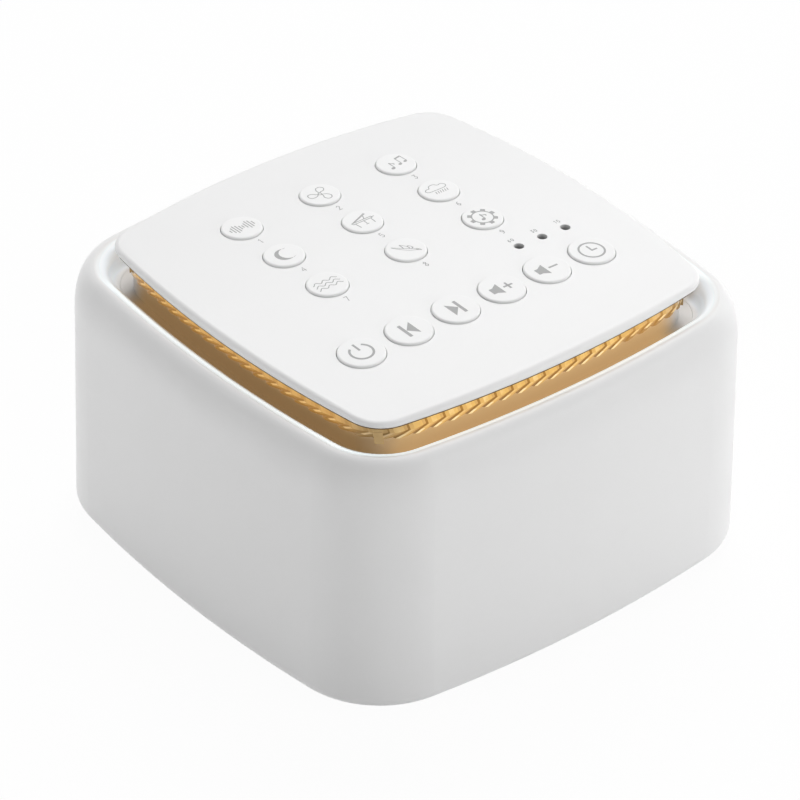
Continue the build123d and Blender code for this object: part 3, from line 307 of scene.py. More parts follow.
@dataclass(frozen=True)
class Finish:
    """A finish with a real grain.

    Attributes:
        name: material name.
        colour: main colour.
        roughness: mean roughness.
        grain: surface structure.
        grain_mm: size of the grain.
        relief_mm: depth of the grain.
        vary: share by which the colour varies.
        metallic: 1 for bare metal.
        coat: clear coat weight.
        second: colour of tracks or of the other thread.
    """

    name: str
    colour: Colour
    roughness: float
    grain: Grain = Grain.MOULDED
    grain_mm: float = 0.35
    relief_mm: float = 0.002
    vary: float = 0.03
    metallic: float = 0.0
    coat: float = 0.0
    second: Optional[Colour] = None

    # Detail and stretch of the grains that are noise.
    NOISES = {
        Grain.MOULDED: (3.0, (1.0, 1.0, 1.0)),
        Grain.SATIN: (3.0, (1.0, 1.0, 1.0)),
        Grain.BRUSHED: (3.0, (0.06, 1.0, 1.0)),
        Grain.PULP: (6.0, (1.0, 0.35, 1.0)),
    }

    # Pitch of the circuit tracks and of their gaps, each with the step at its edge.
    TRACK_X = (2.4, (0.32, 0.22))
    TRACK_Y = (3.1, (0.28, 0.18))
    TRACK_GAP = (11.0, (4.0, 4.2))

    # Size of the bends that the tracks make, and how far they go.
    WANDER_X = (6.0, 3.0)
    WANDER_Y = (9.0, 4.0)

    # Size of the clouds in colour and in roughness, and how far roughness follows them and the grain.
    CLOUD_MM = 9.0
    ROUGH_MM = 3.0
    ROUGH_SHARES = (0.06, 0.05)

    # How far the grain shows in the colour.
    GRAIN_SHADE = 0.35
    COAT_ROUGHNESS = 0.12

    def pattern(self, recipe: Recipe) -> Signal:
        """The grain as a height from 0 to 1.

        Args:
            recipe: the material's node tree.

        Returns:
            The height.
        """
        if self.grain in self.NOISES:
            return recipe.noise(self.grain_mm, *self.NOISES[self.grain])
        x, y, _ = recipe.axes()
        if self.grain is Grain.WOVEN:
            half = self.grain_mm / 2
            return (abs(x.wrap(self.grain_mm) - half) / half).upper(abs(y.wrap(self.grain_mm) - half) / half)
        rows = ((x, self.TRACK_X, self.WANDER_X), (y, self.TRACK_Y, self.WANDER_Y))
        tracks = []
        for axis, (pitch, edge), (size, far) in rows:
            wandered = axis + recipe.noise(size, 0.0) * far
            tracks.append(abs(wandered.wrap(pitch) - pitch / 2).ramp(*edge))
        gap, edge = self.TRACK_GAP
        return tracks[0].upper(tracks[1] * x.wrap(gap).ramp(*edge))

    def shade(self, recipe: Recipe, grain: Signal) -> Signal:
        """Base colour with its variation.

        Args:
            recipe: the material's node tree.
            grain: the grain's height.

        Returns:
            The colour.
        """
        darker = tuple(part * (1 - 2 * self.vary) for part in self.colour)
        lighter = tuple(min(1.0, part * (1 + self.vary)) for part in self.colour)
        cloud = recipe.mix(recipe.noise(self.CLOUD_MM), darker, lighter)
        if self.second is None:
            deeper = tuple(part * (1 - 3 * self.vary) for part in self.colour)
            return recipe.mix(grain * self.GRAIN_SHADE, cloud, deeper)
        return recipe.mix(grain, cloud, self.second)

    def glow(self, recipe: Recipe) -> Optional[Signal]:
        """Light given off; none on a plain finish."""
        return None

    @lru_cache(maxsize=None)
    def material(self) -> bpy.types.Material:
        """Builds the material once and hands it back after that.

        Returns:
            The material.
        """
        made = bpy.data.materials.new(f"{self.name}_finish")
        made.use_nodes = True
        made.diffuse_color = (*self.colour, 1.0)
        recipe = Recipe(made.node_tree)
        grain = self.pattern(recipe)
        broad, fine = self.ROUGH_SHARES
        rough = self.roughness + (recipe.noise(self.ROUGH_MM) - 0.5) * broad + (grain - 0.5) * fine
        inputs: dict[Union[int, str], object] = {
            "Base Color": self.shade(recipe, grain), "Roughness": rough, "Metallic": self.metallic,
            "Coat Weight": self.coat, "Coat Roughness": self.COAT_ROUGHNESS,
            "Normal": recipe.relief(grain, self.relief_mm)}
        light = self.glow(recipe)
        if light is not None:
            inputs["Emission Color"] = light
            inputs["Emission Strength"] = 1.0
        surface = recipe.add("ShaderNodeBsdfPrincipled", {}, inputs)
        recipe.add("ShaderNodeOutputMaterial", {}, {"Surface": surface})
        return made


@dataclass(frozen=True)
class LitPlastic(Finish):
    """White plastic beside the lamps, tinted by their light, less on the flanks and least at two corners.

    Attributes:
        near: colour of the lit plastic at the foot of the ring.
        far: colour of the lit plastic at the foot of the housing's inner wall.
        strength: how strongly the plastic gives off the lamps' light.
        top_mm: heights at which the light is full and gone.
        wall_mm: half widths, measured to the outline through a point, at which the light is full and gone.
        edge_glow: light of the thin line along the rim's inner edge.
        bend_glow: soft light in the two bends of the channel where the lamps' own light fades out.
    """

    near: Colour = (0.58, 0.4, 0.2)
    far: Colour = (0.42, 0.3, 0.17)
    strength: float = 0.5
    top_mm: Span = (52.2, 54.9)
    wall_mm: Span = (46.0, 48.0)
    edge_glow: float = 0.0
    bend_glow: float = 0.28

    # Outline that walls are measured to: radius of its sides, and half width less the radius of its corners.
    PLAN = (268.0, 40.0)

    # Light in the bends of the channel and along the rim.
    PALE = (0.62, 0.82, 1.0)
    BRIGHT = (0.7, 0.91, 1.0)

    # Steps, in millimetres: where each is 0 and where it is 1.
    DIAGONAL = (-200.0, 200.0)
    FACING = (-6.0, 6.0)
    SIDE_END = (36.0, 29.0)
    FAR_WALL = (43.0, 47.0)
    LOWEST = (44.0, 48.0)
    DULL_END = (37.5, 31.0)
    DULL_HEIGHT = (54.0, 52.2)
    DULL_WALL = (48.2, 46.8)
    BEND_DIAGONAL = (100.0, -200.0)
    BEND_END = (31.0, 37.5)
    BEND_OUTER = (48.4, 47.4)
    BEND_INNER = (44.0, 45.5)
    BEND_HEIGHT = (50.0, 52.5)
    LINE_END = (40.0, 31.0)
    LINE_INNER = (47.5, 48.1)
    LINE_OUTER = (49.5, 48.6)
    LINE_HEIGHT = (54.6, 55.6)

    # Share of the light at a dim corner and what a lit one adds, on the flanks, and at the ends of the line.
    CORNER_LIGHT = (0.03, 0.5)
    FLANK_LIGHT = 0.4
    LINE_LIGHT = 0.25

    # Painted shade in the channel at its ends and what its middle adds, and how dark the shaded and lit
    # colours are.
    DULL_SHARES = (0.15, 0.45)
    DULL_COLOUR = 0.5
    TINT = 0.8

    # How far the lit corners draw the ends of light and painted shade outwards, the front and back the line
    # inwards.
    SIDE_SHIFT = 4.0
    DULL_SHIFT = 6.0
    CREST_SHIFT = 0.4

    def ends(self, recipe: Recipe) -> tuple[Signal, Signal]:
        """Where a point lies along the plan.

        Args:
            recipe: the material's node tree.

        Returns:
            Distance from the middle of its side, and 0 at the two dim corners to 1 at the two lit ones.
        """
        x, y, _ = recipe.axes()
        return abs(x).lower(abs(y)), (x * y).ramp(*self.DIAGONAL)

    def warmth(self, recipe: Recipe) -> Signal:
        """How far a point lies in the lamps' light.

        Args:
            recipe: the material's node tree.

        Returns:
            The light, from 0 to 1.
        """
        along, turn = self.ends(recipe)
        z = recipe.axes()[2]
        corner = self.CORNER_LIGHT[0] + turn * self.CORNER_LIGHT[1]
        side = (along - turn * self.SIDE_SHIFT).ramp(*self.SIDE_END)
        height = z.ramp(self.top_mm[1], self.top_mm[0]) * z.ramp(*self.LOWEST)
        wall = recipe.reach(*self.PLAN).ramp(self.wall_mm[1], self.wall_mm[0])
        return (corner + (1 - corner) * side) * height * wall

    def shade(self, recipe: Recipe, grain: Signal) -> Signal:
        """Base colour, with painted shade down in the channel and tinted where the light falls.

        Args:
            recipe: the material's node tree.
            grain: the grain's height.

        Returns:
            The colour.
        """
        along, turn = self.ends(recipe)
        z = recipe.axes()[2]
        # Painted shade down in the channel, least near the corners and more along the sides.
        least, more = self.DULL_SHARES
        straight = least + (along - turn * self.DULL_SHIFT).ramp(*self.DULL_END) * more
        deep = z.ramp(*self.DULL_HEIGHT) * recipe.reach(*self.PLAN).ramp(*self.DULL_WALL) * straight
        plain = super().shade(recipe, grain)
        painted_shade = recipe.mix(deep, plain, tuple(part * self.DULL_COLOUR for part in self.colour))
        return recipe.mix(self.warmth(recipe), painted_shade, tuple(part * self.TINT for part in self.near))

    def glow(self, recipe: Recipe) -> Signal:
        """The lamps' light on the plastic, the soft light in two bends and the bright line along the rim.

        Args:
            recipe: the material's node tree.

        Returns:
            The light.
        """
        x, y, z = recipe.axes()
        along, turn = self.ends(recipe)
        reach = recipe.reach(*self.PLAN)
        facing = (abs(y) - abs(x)).ramp(*self.FACING)
        lit = recipe.mix(reach.ramp(*self.FAR_WALL), self.near, self.far)
        front = self.FLANK_LIGHT + facing * (1 - self.FLANK_LIGHT)
        amber = recipe.mix(self.warmth(recipe) * front * self.strength, (0.0, 0.0, 0.0), lit)
        channel = reach.ramp(*self.BEND_OUTER) * reach.ramp(*self.BEND_INNER) * z.ramp(*self.BEND_HEIGHT)
        bend = (x * y).ramp(*self.BEND_DIAGONAL) * along.ramp(*self.BEND_END) * channel
        soft = recipe.mix(bend * self.bend_glow, amber, self.PALE)
        crest = reach + facing * self.CREST_SHIFT
        sides = (self.LINE_LIGHT + along.ramp(*self.LINE_END) * (1 - self.LINE_LIGHT)).upper(turn)
        line = crest.ramp(*self.LINE_INNER) * crest.ramp(*self.LINE_OUTER) * z.ramp(*self.LINE_HEIGHT) * sides
        return recipe.mix(line * self.edge_glow, soft, self.BRIGHT)


@dataclass(frozen=True)
class Dome:
    """The panel's domed top.

    Attributes:
        radius: radius of the ball.
        apex: height of its top.
    """

    radius: float = 950.0
    apex: float = 63.0

    def height(self, x: Value, y: Value) -> Value:
        """Height of the surface at a place, given by numbers or by signals."""
        return self.apex - (x * x + y * y) / (2 * self.radius)


@dataclass(frozen=True)
class PanelPlastic(Finish):
    """White plastic with painted shade at the foot of the panel's edge, down in its holes and towards its far
    end.

    Attributes:
        dome: the panel's surface.
    """

    dome: Dome = Dome()

    # Outline that walls are measured to: radius of its sides, and half width less the radius of its corners.
    PLAN = (240.0, 37.6)
    # Colour that the painted shade darkens towards.
    DARK = (0.05, 0.05, 0.05)

    # How much painted shade the foot of the edge, a hole and the far end get.
    FOOT = 0.1
    HOLE = 0.7
    FAR = 0.045

    # Steps, in millimetres: where each is 0 and where it is 1.
    FOOT_WALL = (43.8, 45.0)
    FOOT_HEIGHT = (61.0, 60.2)
    HOLE_WALL = (43.0, 42.0)
    HOLE_DEPTH = (0.1, 1.4)
    FAR_END = (-25.0, 46.0)

    def shade(self, recipe: Recipe, grain: Signal) -> Signal:
        """Base colour with its painted shade.

        Args:
            recipe: the material's node tree.
            grain: the grain's height.

        Returns:
            The colour.
        """
        x, y, z = recipe.axes()
        reach = recipe.reach(*self.PLAN)
        depth = self.dome.height(x, y) - z
        # Painted shade: the foot of the edge, the walls of the holes and the far end are darkened.
        foot = reach.ramp(*self.FOOT_WALL) * z.ramp(*self.FOOT_HEIGHT) * self.FOOT
        hole = reach.ramp(*self.HOLE_WALL) * depth.ramp(*self.HOLE_DEPTH) * self.HOLE
        painted_shade = foot.upper(hole) + y.ramp(*self.FAR_END) * self.FAR
        return recipe.mix(painted_shade, super().shade(recipe, grain), self.DARK)


@dataclass(frozen=True)
class AmberAcrylic(Finish):
    """Clear ring whose facets carry their own light, strongest along the sides.

    Attributes:
        attribute: name of the face value that tells how bright a facet is.
    """

    attribute: str = "facet_light"

    AMBER = ((0.0, (0.09, 0.045, 0.01)), (0.25, (0.33, 0.16, 0.035)), (0.5, (0.56, 0.33, 0.11)),
             (0.8, (0.72, 0.45, 0.13)), (1.0, (0.9, 0.72, 0.38)))
    OLIVE = ((0.0, (0.07, 0.05, 0.02)), (0.5, (0.19, 0.14, 0.07)), (1.0, (0.4, 0.3, 0.16)))
    UNLIT = (0.14, 0.08, 0.03)
    GRAIN_SHADE = 0.3

    # Steps, in millimetres: where each is 0 and where it is 1.
    SIDE_END = (39.0, 28.0)
    FACING = (-4.0, 6.0)

    # Size and strength of the blotches in the light, and the share of it that the flanks have.
    BLOTCH_MM = 2.2
    BLOTCH = 0.4
    FLANK_LIGHT = 0.72

    def glow(self, recipe: Recipe) -> Signal:
        """Light of each facet: amber along the sides, most at the front and back, and olive at the corners.

        Args:
            recipe: the material's node tree.

        Returns:
            The light.
        """
        facet = recipe.add("ShaderNodeAttribute", {"attribute_name": self.attribute}, {}, "Fac")
        x, y, _ = recipe.axes()
        side = abs(x).lower(abs(y)).ramp(*self.SIDE_END)
        front = self.FLANK_LIGHT + (abs(y) - abs(x)).ramp(*self.FACING) * (1 - self.FLANK_LIGHT)
        level = facet * (recipe.noise(self.BLOTCH_MM) * self.BLOTCH + (1 - self.BLOTCH / 2))
        amber = recipe.add("ShaderNodeValToRGB", {"stops": self.AMBER}, {0: level * front})
        olive = recipe.add("ShaderNodeValToRGB", {"stops": self.OLIVE}, {0: level})
        return recipe.mix(side, olive, amber)

    def shade(self, recipe: Recipe, grain: Signal) -> Signal:
        """Amber of the unlit plastic."""
        return recipe.mix(grain * self.GRAIN_SHADE, self.colour, self.UNLIT)


@dataclass(frozen=True)
class LampGlow(Finish):
    """Small lamps that shine amber."""

    DEEP = (1.0, 0.55, 0.14)
    PALE = (1.0, 0.72, 0.32)

    def glow(self, recipe: Recipe) -> Signal:
        """Amber light with paler spots."""
        return recipe.mix(recipe.noise(1.0, 1.0), self.DEEP, self.PALE)


class Palette:
    """Every finish of the machine."""

    housing = LitPlastic("housing_white", (0.83, 0.83, 0.83), 0.3, Grain.SATIN, 0.5, 0.0006, 0.006,
                         edge_glow=0.45)
    panel = PanelPlastic("panel_white", (0.88, 0.88, 0.88), 0.38, Grain.SATIN, 0.3, 0.0008, 0.005)
    cap = Finish("cap_white", (0.88, 0.88, 0.88), 0.34, Grain.SATIN, 0.25, 0.0006, 0.005)
    deck = LitPlastic("deck_white", (0.8, 0.79, 0.78), 0.35, Grain.SATIN, 0.5, 0.001, 0.01,
                      top_mm=(58.0, 60.0))
    ring = AmberAcrylic("ring_amber", (0.25, 0.15, 0.05), 0.12, Grain.SATIN, 1.2, 0.004, 0.02, coat=0.6)
    base = Finish("base_grey", (0.74, 0.74, 0.74), 0.62, Grain.MOULDED, 0.22, 0.02, 0.02)
    rubber = Finish("foot_rubber", (0.03, 0.03, 0.03), 0.82, Grain.MOULDED, 0.18, 0.02, 0.08)
    screw = Finish("screw_steel", (0.62, 0.62, 0.64), 0.34, Grain.BRUSHED, 0.12, 0.004, 0.03, metallic=1.0)
    board = Finish("board_green", (0.015, 0.13, 0.05), 0.42, Grain.TRACKS, 0.5, 0.02, 0.05, coat=0.4,
                   second=(0.03, 0.24, 0.09))
    white_board = Finish("board_white", (0.82, 0.82, 0.8), 0.4, Grain.TRACKS, 0.5, 0.02, 0.02, coat=0.3,
                         second=(0.74, 0.74, 0.72))
    switch = Finish("switch_black", (0.02, 0.02, 0.022), 0.5, Grain.MOULDED, 0.15, 0.006, 0.1)
    plunger = Finish("plunger_grey", (0.3, 0.3, 0.3), 0.45, Grain.MOULDED, 0.12, 0.004, 0.05)
    chip = Finish("component_black", (0.025, 0.025, 0.028), 0.56, Grain.MOULDED, 0.08, 0.008, 0.1)
    pipe = Finish("light_grey", (0.07, 0.07, 0.07), 0.3, Grain.SATIN, 0.3, 0.003, 0.04, coat=0.3)
    ribbon = Finish("ribbon_grey", (0.55, 0.55, 0.53), 0.5, Grain.BRUSHED, 0.5, 0.02, 0.05)
    lead = Finish("lead_black", (0.02, 0.02, 0.02), 0.55, Grain.MOULDED, 0.2, 0.01, 0.1)
    socket = Finish("socket_steel", (0.6, 0.6, 0.62), 0.28, Grain.BRUSHED, 0.1, 0.003, 0.03, metallic=1.0)
    tongue = Finish("tongue_black", (0.02, 0.02, 0.02), 0.45, Grain.TRACKS, 0.3, 0.01, 0.05,
                    second=(0.5, 0.36, 0.12))
    foam = Finish("gasket_foam", (0.03, 0.03, 0.03), 0.92, Grain.MOULDED, 0.4, 0.06, 0.15)
    frame = Finish("frame_steel", (0.025, 0.025, 0.028), 0.42, Grain.MOULDED, 0.25, 0.008, 0.08, coat=0.2)
    plate = Finish("plate_steel", (0.5, 0.5, 0.52), 0.34, Grain.BRUSHED, 0.2, 0.006, 0.04, metallic=1.0)
    ferrite = Finish("magnet_grey", (0.05, 0.05, 0.052), 0.6, Grain.MOULDED, 0.3, 0.03, 0.12)
    surround = Finish("surround_rubber", (0.022, 0.022, 0.022), 0.7, Grain.MOULDED, 0.3, 0.01, 0.08)
    spider = Finish("spider_fabric", (0.55, 0.36, 0.12), 0.85, Grain.WOVEN, 0.5, 0.05, 0.06,
                    second=(0.4, 0.24, 0.07))
    pulp = Finish("cone_paper", (0.035, 0.035, 0.036), 0.8, Grain.PULP, 0.9, 0.05, 0.15)
    coil = Finish("coil_copper", (0.62, 0.3, 0.14), 0.35, Grain.BRUSHED, 0.15, 0.02, 0.05, metallic=1.0)
    # Painted shadow: the thin brown strip under the panel's edge.
    seal = Finish("painted_shadow_brown", (0.12, 0.075, 0.03), 0.6, Grain.SATIN, 0.4, 0.002, 0.05)
    ink = Finish("print_grey", (0.4, 0.4, 0.4), 0.5, Grain.SATIN, 0.2, 0.001, 0.02)
    lamp = LampGlow("lamp_amber", (0.8, 0.6, 0.3), 0.3, Grain.SATIN, 0.3, 0.004, 0.02)


# ------------------------------------------------------------------ plan outline and mesh tools
@dataclass(frozen=True)
class Outline:
    """Square plan with bulged sides and round corners.

    Attributes:
        half: distance from the middle to the middle of a side.
        side_radius: radius of the bulged sides.
        corner_radius: radius of the corners.
    """

    half: float
    side_radius: float
    corner_radius: float

    def arcs(self) -> list[tuple[Point, float, float, float]]:
        """The eight arcs, from the start of the +X side.

        Returns:
            Centre, radius, first and last angle of each arc, in radians.
        """
        run = self.side_radius - self.half
        reach = self.side_radius - self.corner_radius
        offset = (math.sqrt(2 * reach ** 2 - run ** 2) - run) / 2
        turn = math.atan2(offset, offset + run)
        found = []
        for quarter in range(4):
            spin = quarter * math.pi / 2
            cos, sin = round(math.cos(spin)), round(math.sin(spin))
            side = (-run * cos, -run * sin)
            corner = (offset * cos - offset * sin, offset * sin + offset * cos)
            found.append((side, self.side_radius, spin - turn, spin + turn))
            found.append((corner, self.corner_radius, spin + turn, spin + math.pi / 2 - turn))
        return found

    def length(self) -> float:
        """Length all round."""
        return sum(radius * (last - first) for _, radius, first, last in self.arcs())

    def at(self, distance: float, out: float = 0.0) -> Point:
        """A point by its distance along the outline.

        Args:
            distance: length from the start of the +X side, in the direction of the arcs.
            out: how far outside the outline the point lies.

        Returns:
            The point.
        """
        distance %= self.length()
        for centre, radius, first, last in self.arcs():
            span = radius * (last - first)
            if distance <= span + TINY:
                angle = first + distance / radius
                reach = radius + out
                return (centre[0] + reach * math.cos(angle), centre[1] + reach * math.sin(angle))
            distance -= span
        return self.at(0.0, out)


@dataclass
class Facets:
    """Points and faces of a mesh, gathered with the light of each face.

    Attributes:
        points: corners in millimetres.
        faces: corner numbers of each face.
        light: how bright each face is, from 0 to 1.
    """

    points: list[Place] = field(default_factory=list)
    faces: list[tuple[int, ...]] = field(default_factory=list)
    light: list[float] = field(default_factory=list)

    def face(self, start: int, numbers: Iterable[int], level: float) -> None:
        """Adds a face by its corner numbers, counted from start, with its light."""
        self.faces.append(tuple(start + number for number in numbers))
        self.light.append(level)


class Maker:
    """Turns points into objects that ride on the frame."""

    @staticmethod
    def piece(name: str, points: Sequence[Place], faces: Iterable[Sequence[int]], body: str, slot: str,
              finish: Finish, smooth: bool = False) -> bpy.types.Object:
        """Makes a mesh piece.

        Args:
            name: object name.
            points: corners in millimetres.
            faces: corner numbers of each face.
            body: frame body it moves with.
            slot: material slot of the record; not used.
            finish: its finish.
            smooth: whether its shading is smooth.

        Returns:
            The new object.
        """
        mesh = bpy.data.meshes.new(name)
        corners_m = [tuple(part * MM for part in point) for point in points]
        mesh.from_pydata(corners_m, [], [tuple(face) for face in faces])
        mesh.validate()
        for polygon in mesh.polygons:
            polygon.use_smooth = smooth
        made = bpy.data.objects.new(name, mesh)
        bpy.context.scene.collection.objects.link(made)
        mesh.materials.append(finish.material())
        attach(made, body)
        LOG.info("%s: %d faces on %s", name, len(mesh.polygons), body)
        return made


# ------------------------------------------------------------------ light ring
@dataclass
class LightRing:
    """Clear ring with slanted, overlapping facets, a tab at each corner and a thin painted shadow strip under
    the panel.

    Attributes:
        outline: outer face at the facets' valleys.
        bottom: height of its foot.
        height: foot to the underside of the panel.
        wall: thickness.
        pitch: length of one facet along the ring.
        knee: height above the foot at which a facet's edge turns.
        lean: how far the upper part of that edge runs along the ring, for each millimetre of height.
        sweep: how far the lower part runs back.
        relief: how far a ridge stands out.
        foot_drop: how far a ridge's foot reaches below the ring's.
        flank_start: place on X beyond which every side has a flank's light.
        core_gap: from the facets' valleys to the plain body behind them.
        tab: width, height and thickness of a corner tab.
        tab_top: height of its top above the knee.
        tab_slant: how far its foot is shifted along the ring.
        seal: outline of the painted shadow strip's outer face.
        seal_height: height of the strip.
        seal_lip: how far the strip's underside reaches inwards.
    """

    outline: Outline = Outline(42.75, 264.7, 10.3)
    bottom: float = 55.8
    height: float = 4.38
    wall: float = 4.9
    pitch: float = 3.95
    knee: float = 1.2
    lean: float = 0.5 / 1.4
    sweep: float = 3.0
    relief: float = 0.28
    foot_drop: float = 0.1
    flank_start: float = 18.0
    core_gap: float = 0.25
    tab: tuple[float, float, float] = (1.7, 2.2, 0.5)
    tab_top: float = 0.3
    tab_slant: float = 0.4
    # The strip below paints the shadow under the panel's edge.
    seal: Outline = Outline(44.85, 239.75, 7.25)
    seal_height: float = 0.3
    seal_lip: float = 1.2

    # Start of each band as a share of the pitch, and how far it stands out as a share of the relief.
    BANDS = (0.0, 0.1, 0.3, 0.6, 0.82)
    RIDGE = (-0.6, 0.5, 1.0, 0.5, 0.0)

    # Light of the bands in each row, from the top down: on the front and back, and on the flanks.
    LEVELS = ((0.22, 0.66, 0.84, 0.78, 0.52), (0.14, 0.8, 0.6, 0.42, 0.3), (0.1, 1.0, 0.62, 0.35, 0.24))
    FLANK_LEVELS = ((0.35, 0.58, 0.7, 0.62, 0.5), (0.25, 0.9, 0.42, 0.3, 0.25),
                    (0.22, 0.24, 0.22, 0.22, 0.22))

    # Where the edge turns a second time, as shares of the knee and of the sweep.
    BEND = (0.45, 0.55)

    # Body behind the facets: its pieces to a facet, and the light of its outer face and its other three.
    CORE_STEPS = 3
    CORE_LIGHT = (0.4, 0.15, 0.15, 0.15)

    # Corners and light of a tab's faces.
    TAB_FACES = (((0, 1, 5, 4), 0.3), ((1, 2, 6, 5), 0.75), ((2, 3, 7, 6), 0.5), ((0, 3, 2, 1), 0.6),
                 ((4, 5, 6, 7), 0.2))

    # Pieces of the painted shadow strip all round.
    SEAL_STEPS = 200

    def build(self) -> bpy.types.Object:
        """Makes the faceted ring with its core and tabs, and the painted shadow strip.

        Returns:
            The ring.
        """
        shape = Facets()
        count = round(self.outline.length() / self.pitch)
        self._facets(shape, count)
        self._core(shape, count * self.CORE_STEPS)
        self._tabs(shape)
        ring = Maker.piece("faceted_ring", shape.points, shape.faces, "housing", "ring_amber", Palette.ring)
        attribute = ring.data.attributes.new(AmberAcrylic.attribute, "FLOAT", "FACE")
        attribute.data.foreach_set("value", shape.light)
        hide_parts("light_ring")
        self._seal()
        return ring

    def _facets(self, shape: Facets, count: int) -> None:
        """Adds rows of slanted bands that overlap like shingles.

        Args:
            shape: where they are added.
            count: number of facets round the ring.
        """
        pitch = self.outline.length() / count
        bend, back = self.BEND
        rows = ((self.height, -self.lean * (self.height - self.knee)), (self.knee, 0.0),
                (self.knee * bend, -self.sweep * back), (0.0, -self.sweep))
        bands = len(self.BANDS)
        total = count * bands
        start = len(shape.points)
        for height, shift in rows:
            for index in range(total):
                band, ridge = self.BANDS[index % bands], self.RIDGE[index % bands]
                drop = self.foot_drop * ridge if height == 0.0 else 0.0
                distance = (index // bands + band) * pitch + shift
                plan = self.outline.at(distance, ridge * self.relief)
                shape.points.append((*plan, self.bottom + height - drop))
        for row in range(len(rows) - 1):
            for index in range(total):
                here, there = row * total + index, row * total + (index + 1) % total
                x, y = shape.points[start + here][:2]
                levels = self.FLANK_LEVELS if abs(x) > abs(y) or x > self.flank_start else self.LEVELS
                shape.face(start, (here, here + total, there + total, there), levels[row][index % bands])

    def _core(self, shape: Facets, total: int) -> None:
        """Adds the plain body behind the facets.

        Args:
            shape: where it is added.
            total: number of its pieces round the ring.
        """
        start = len(shape.points)
        outer, inner = -self.core_gap, -self.wall
        section = ((outer, 0.0), (outer, self.height), (inner, self.height), (inner, 0.0))
        step = self.outline.length() / total
        for index in range(total):
            shape.points += [(*self.outline.at(index * step, out), self.bottom + z) for out, z in section]
        for index in range(total):
            here, there = index * 4, (index + 1) % total * 4
            for side, level in enumerate(self.CORE_LIGHT):
                after = (side + 1) % 4
                shape.face(start, (here + side, there + side, there + after, here + after), level)

    def _tabs(self, shape: Facets) -> None:
        """Adds the tab that hangs over the plinth at each corner.

        Args:
            shape: where they are added.
        """
        wide, high, thick = self.tab
        side, bend = (radius * (last - first) for _, radius, first, last in self.outline.arcs()[:2])
        for corner in range(4):
            centre = corner * (side + bend) + side + bend / 2
            start = len(shape.points)
            for z, slant in ((self.knee + self.tab_top, 0.0), (self.knee - high, self.tab_slant)):
                for across, out in ((-wide / 2, 0.0), (-wide / 2, thick), (wide / 2, thick), (wide / 2, 0.0)):
                    shape.points.append((*self.outline.at(centre + across + slant, out), self.bottom + z))
            for numbers, level in self.TAB_FACES:
                shape.face(start, numbers, level)

    def _seal(self) -> bpy.types.Object:
        """Makes the thin brown strip of painted shadow between the panel and the ring.

        Returns:
            The strip.
        """
        steps = self.SEAL_STEPS
        step = self.seal.length() / steps
        top = self.bottom + self.height
        section = ((0.0, 0.0), (0.0, self.seal_height), (-self.seal_lip, self.seal_height))
        points: list[Place] = []
        faces: list[tuple[int, ...]] = []
        for index in range(steps):
            points += [(*self.seal.at(index * step, out), top - drop) for out, drop in section]
            here, there = 3 * index, 3 * ((index + 1) % steps)
            faces += [(here + side, there + side, there + side + 1, here + side + 1) for side in (0, 1)]
        return Maker.piece("painted_shadow_strip", points, faces, "housing", "ring_amber", Palette.seal, True)


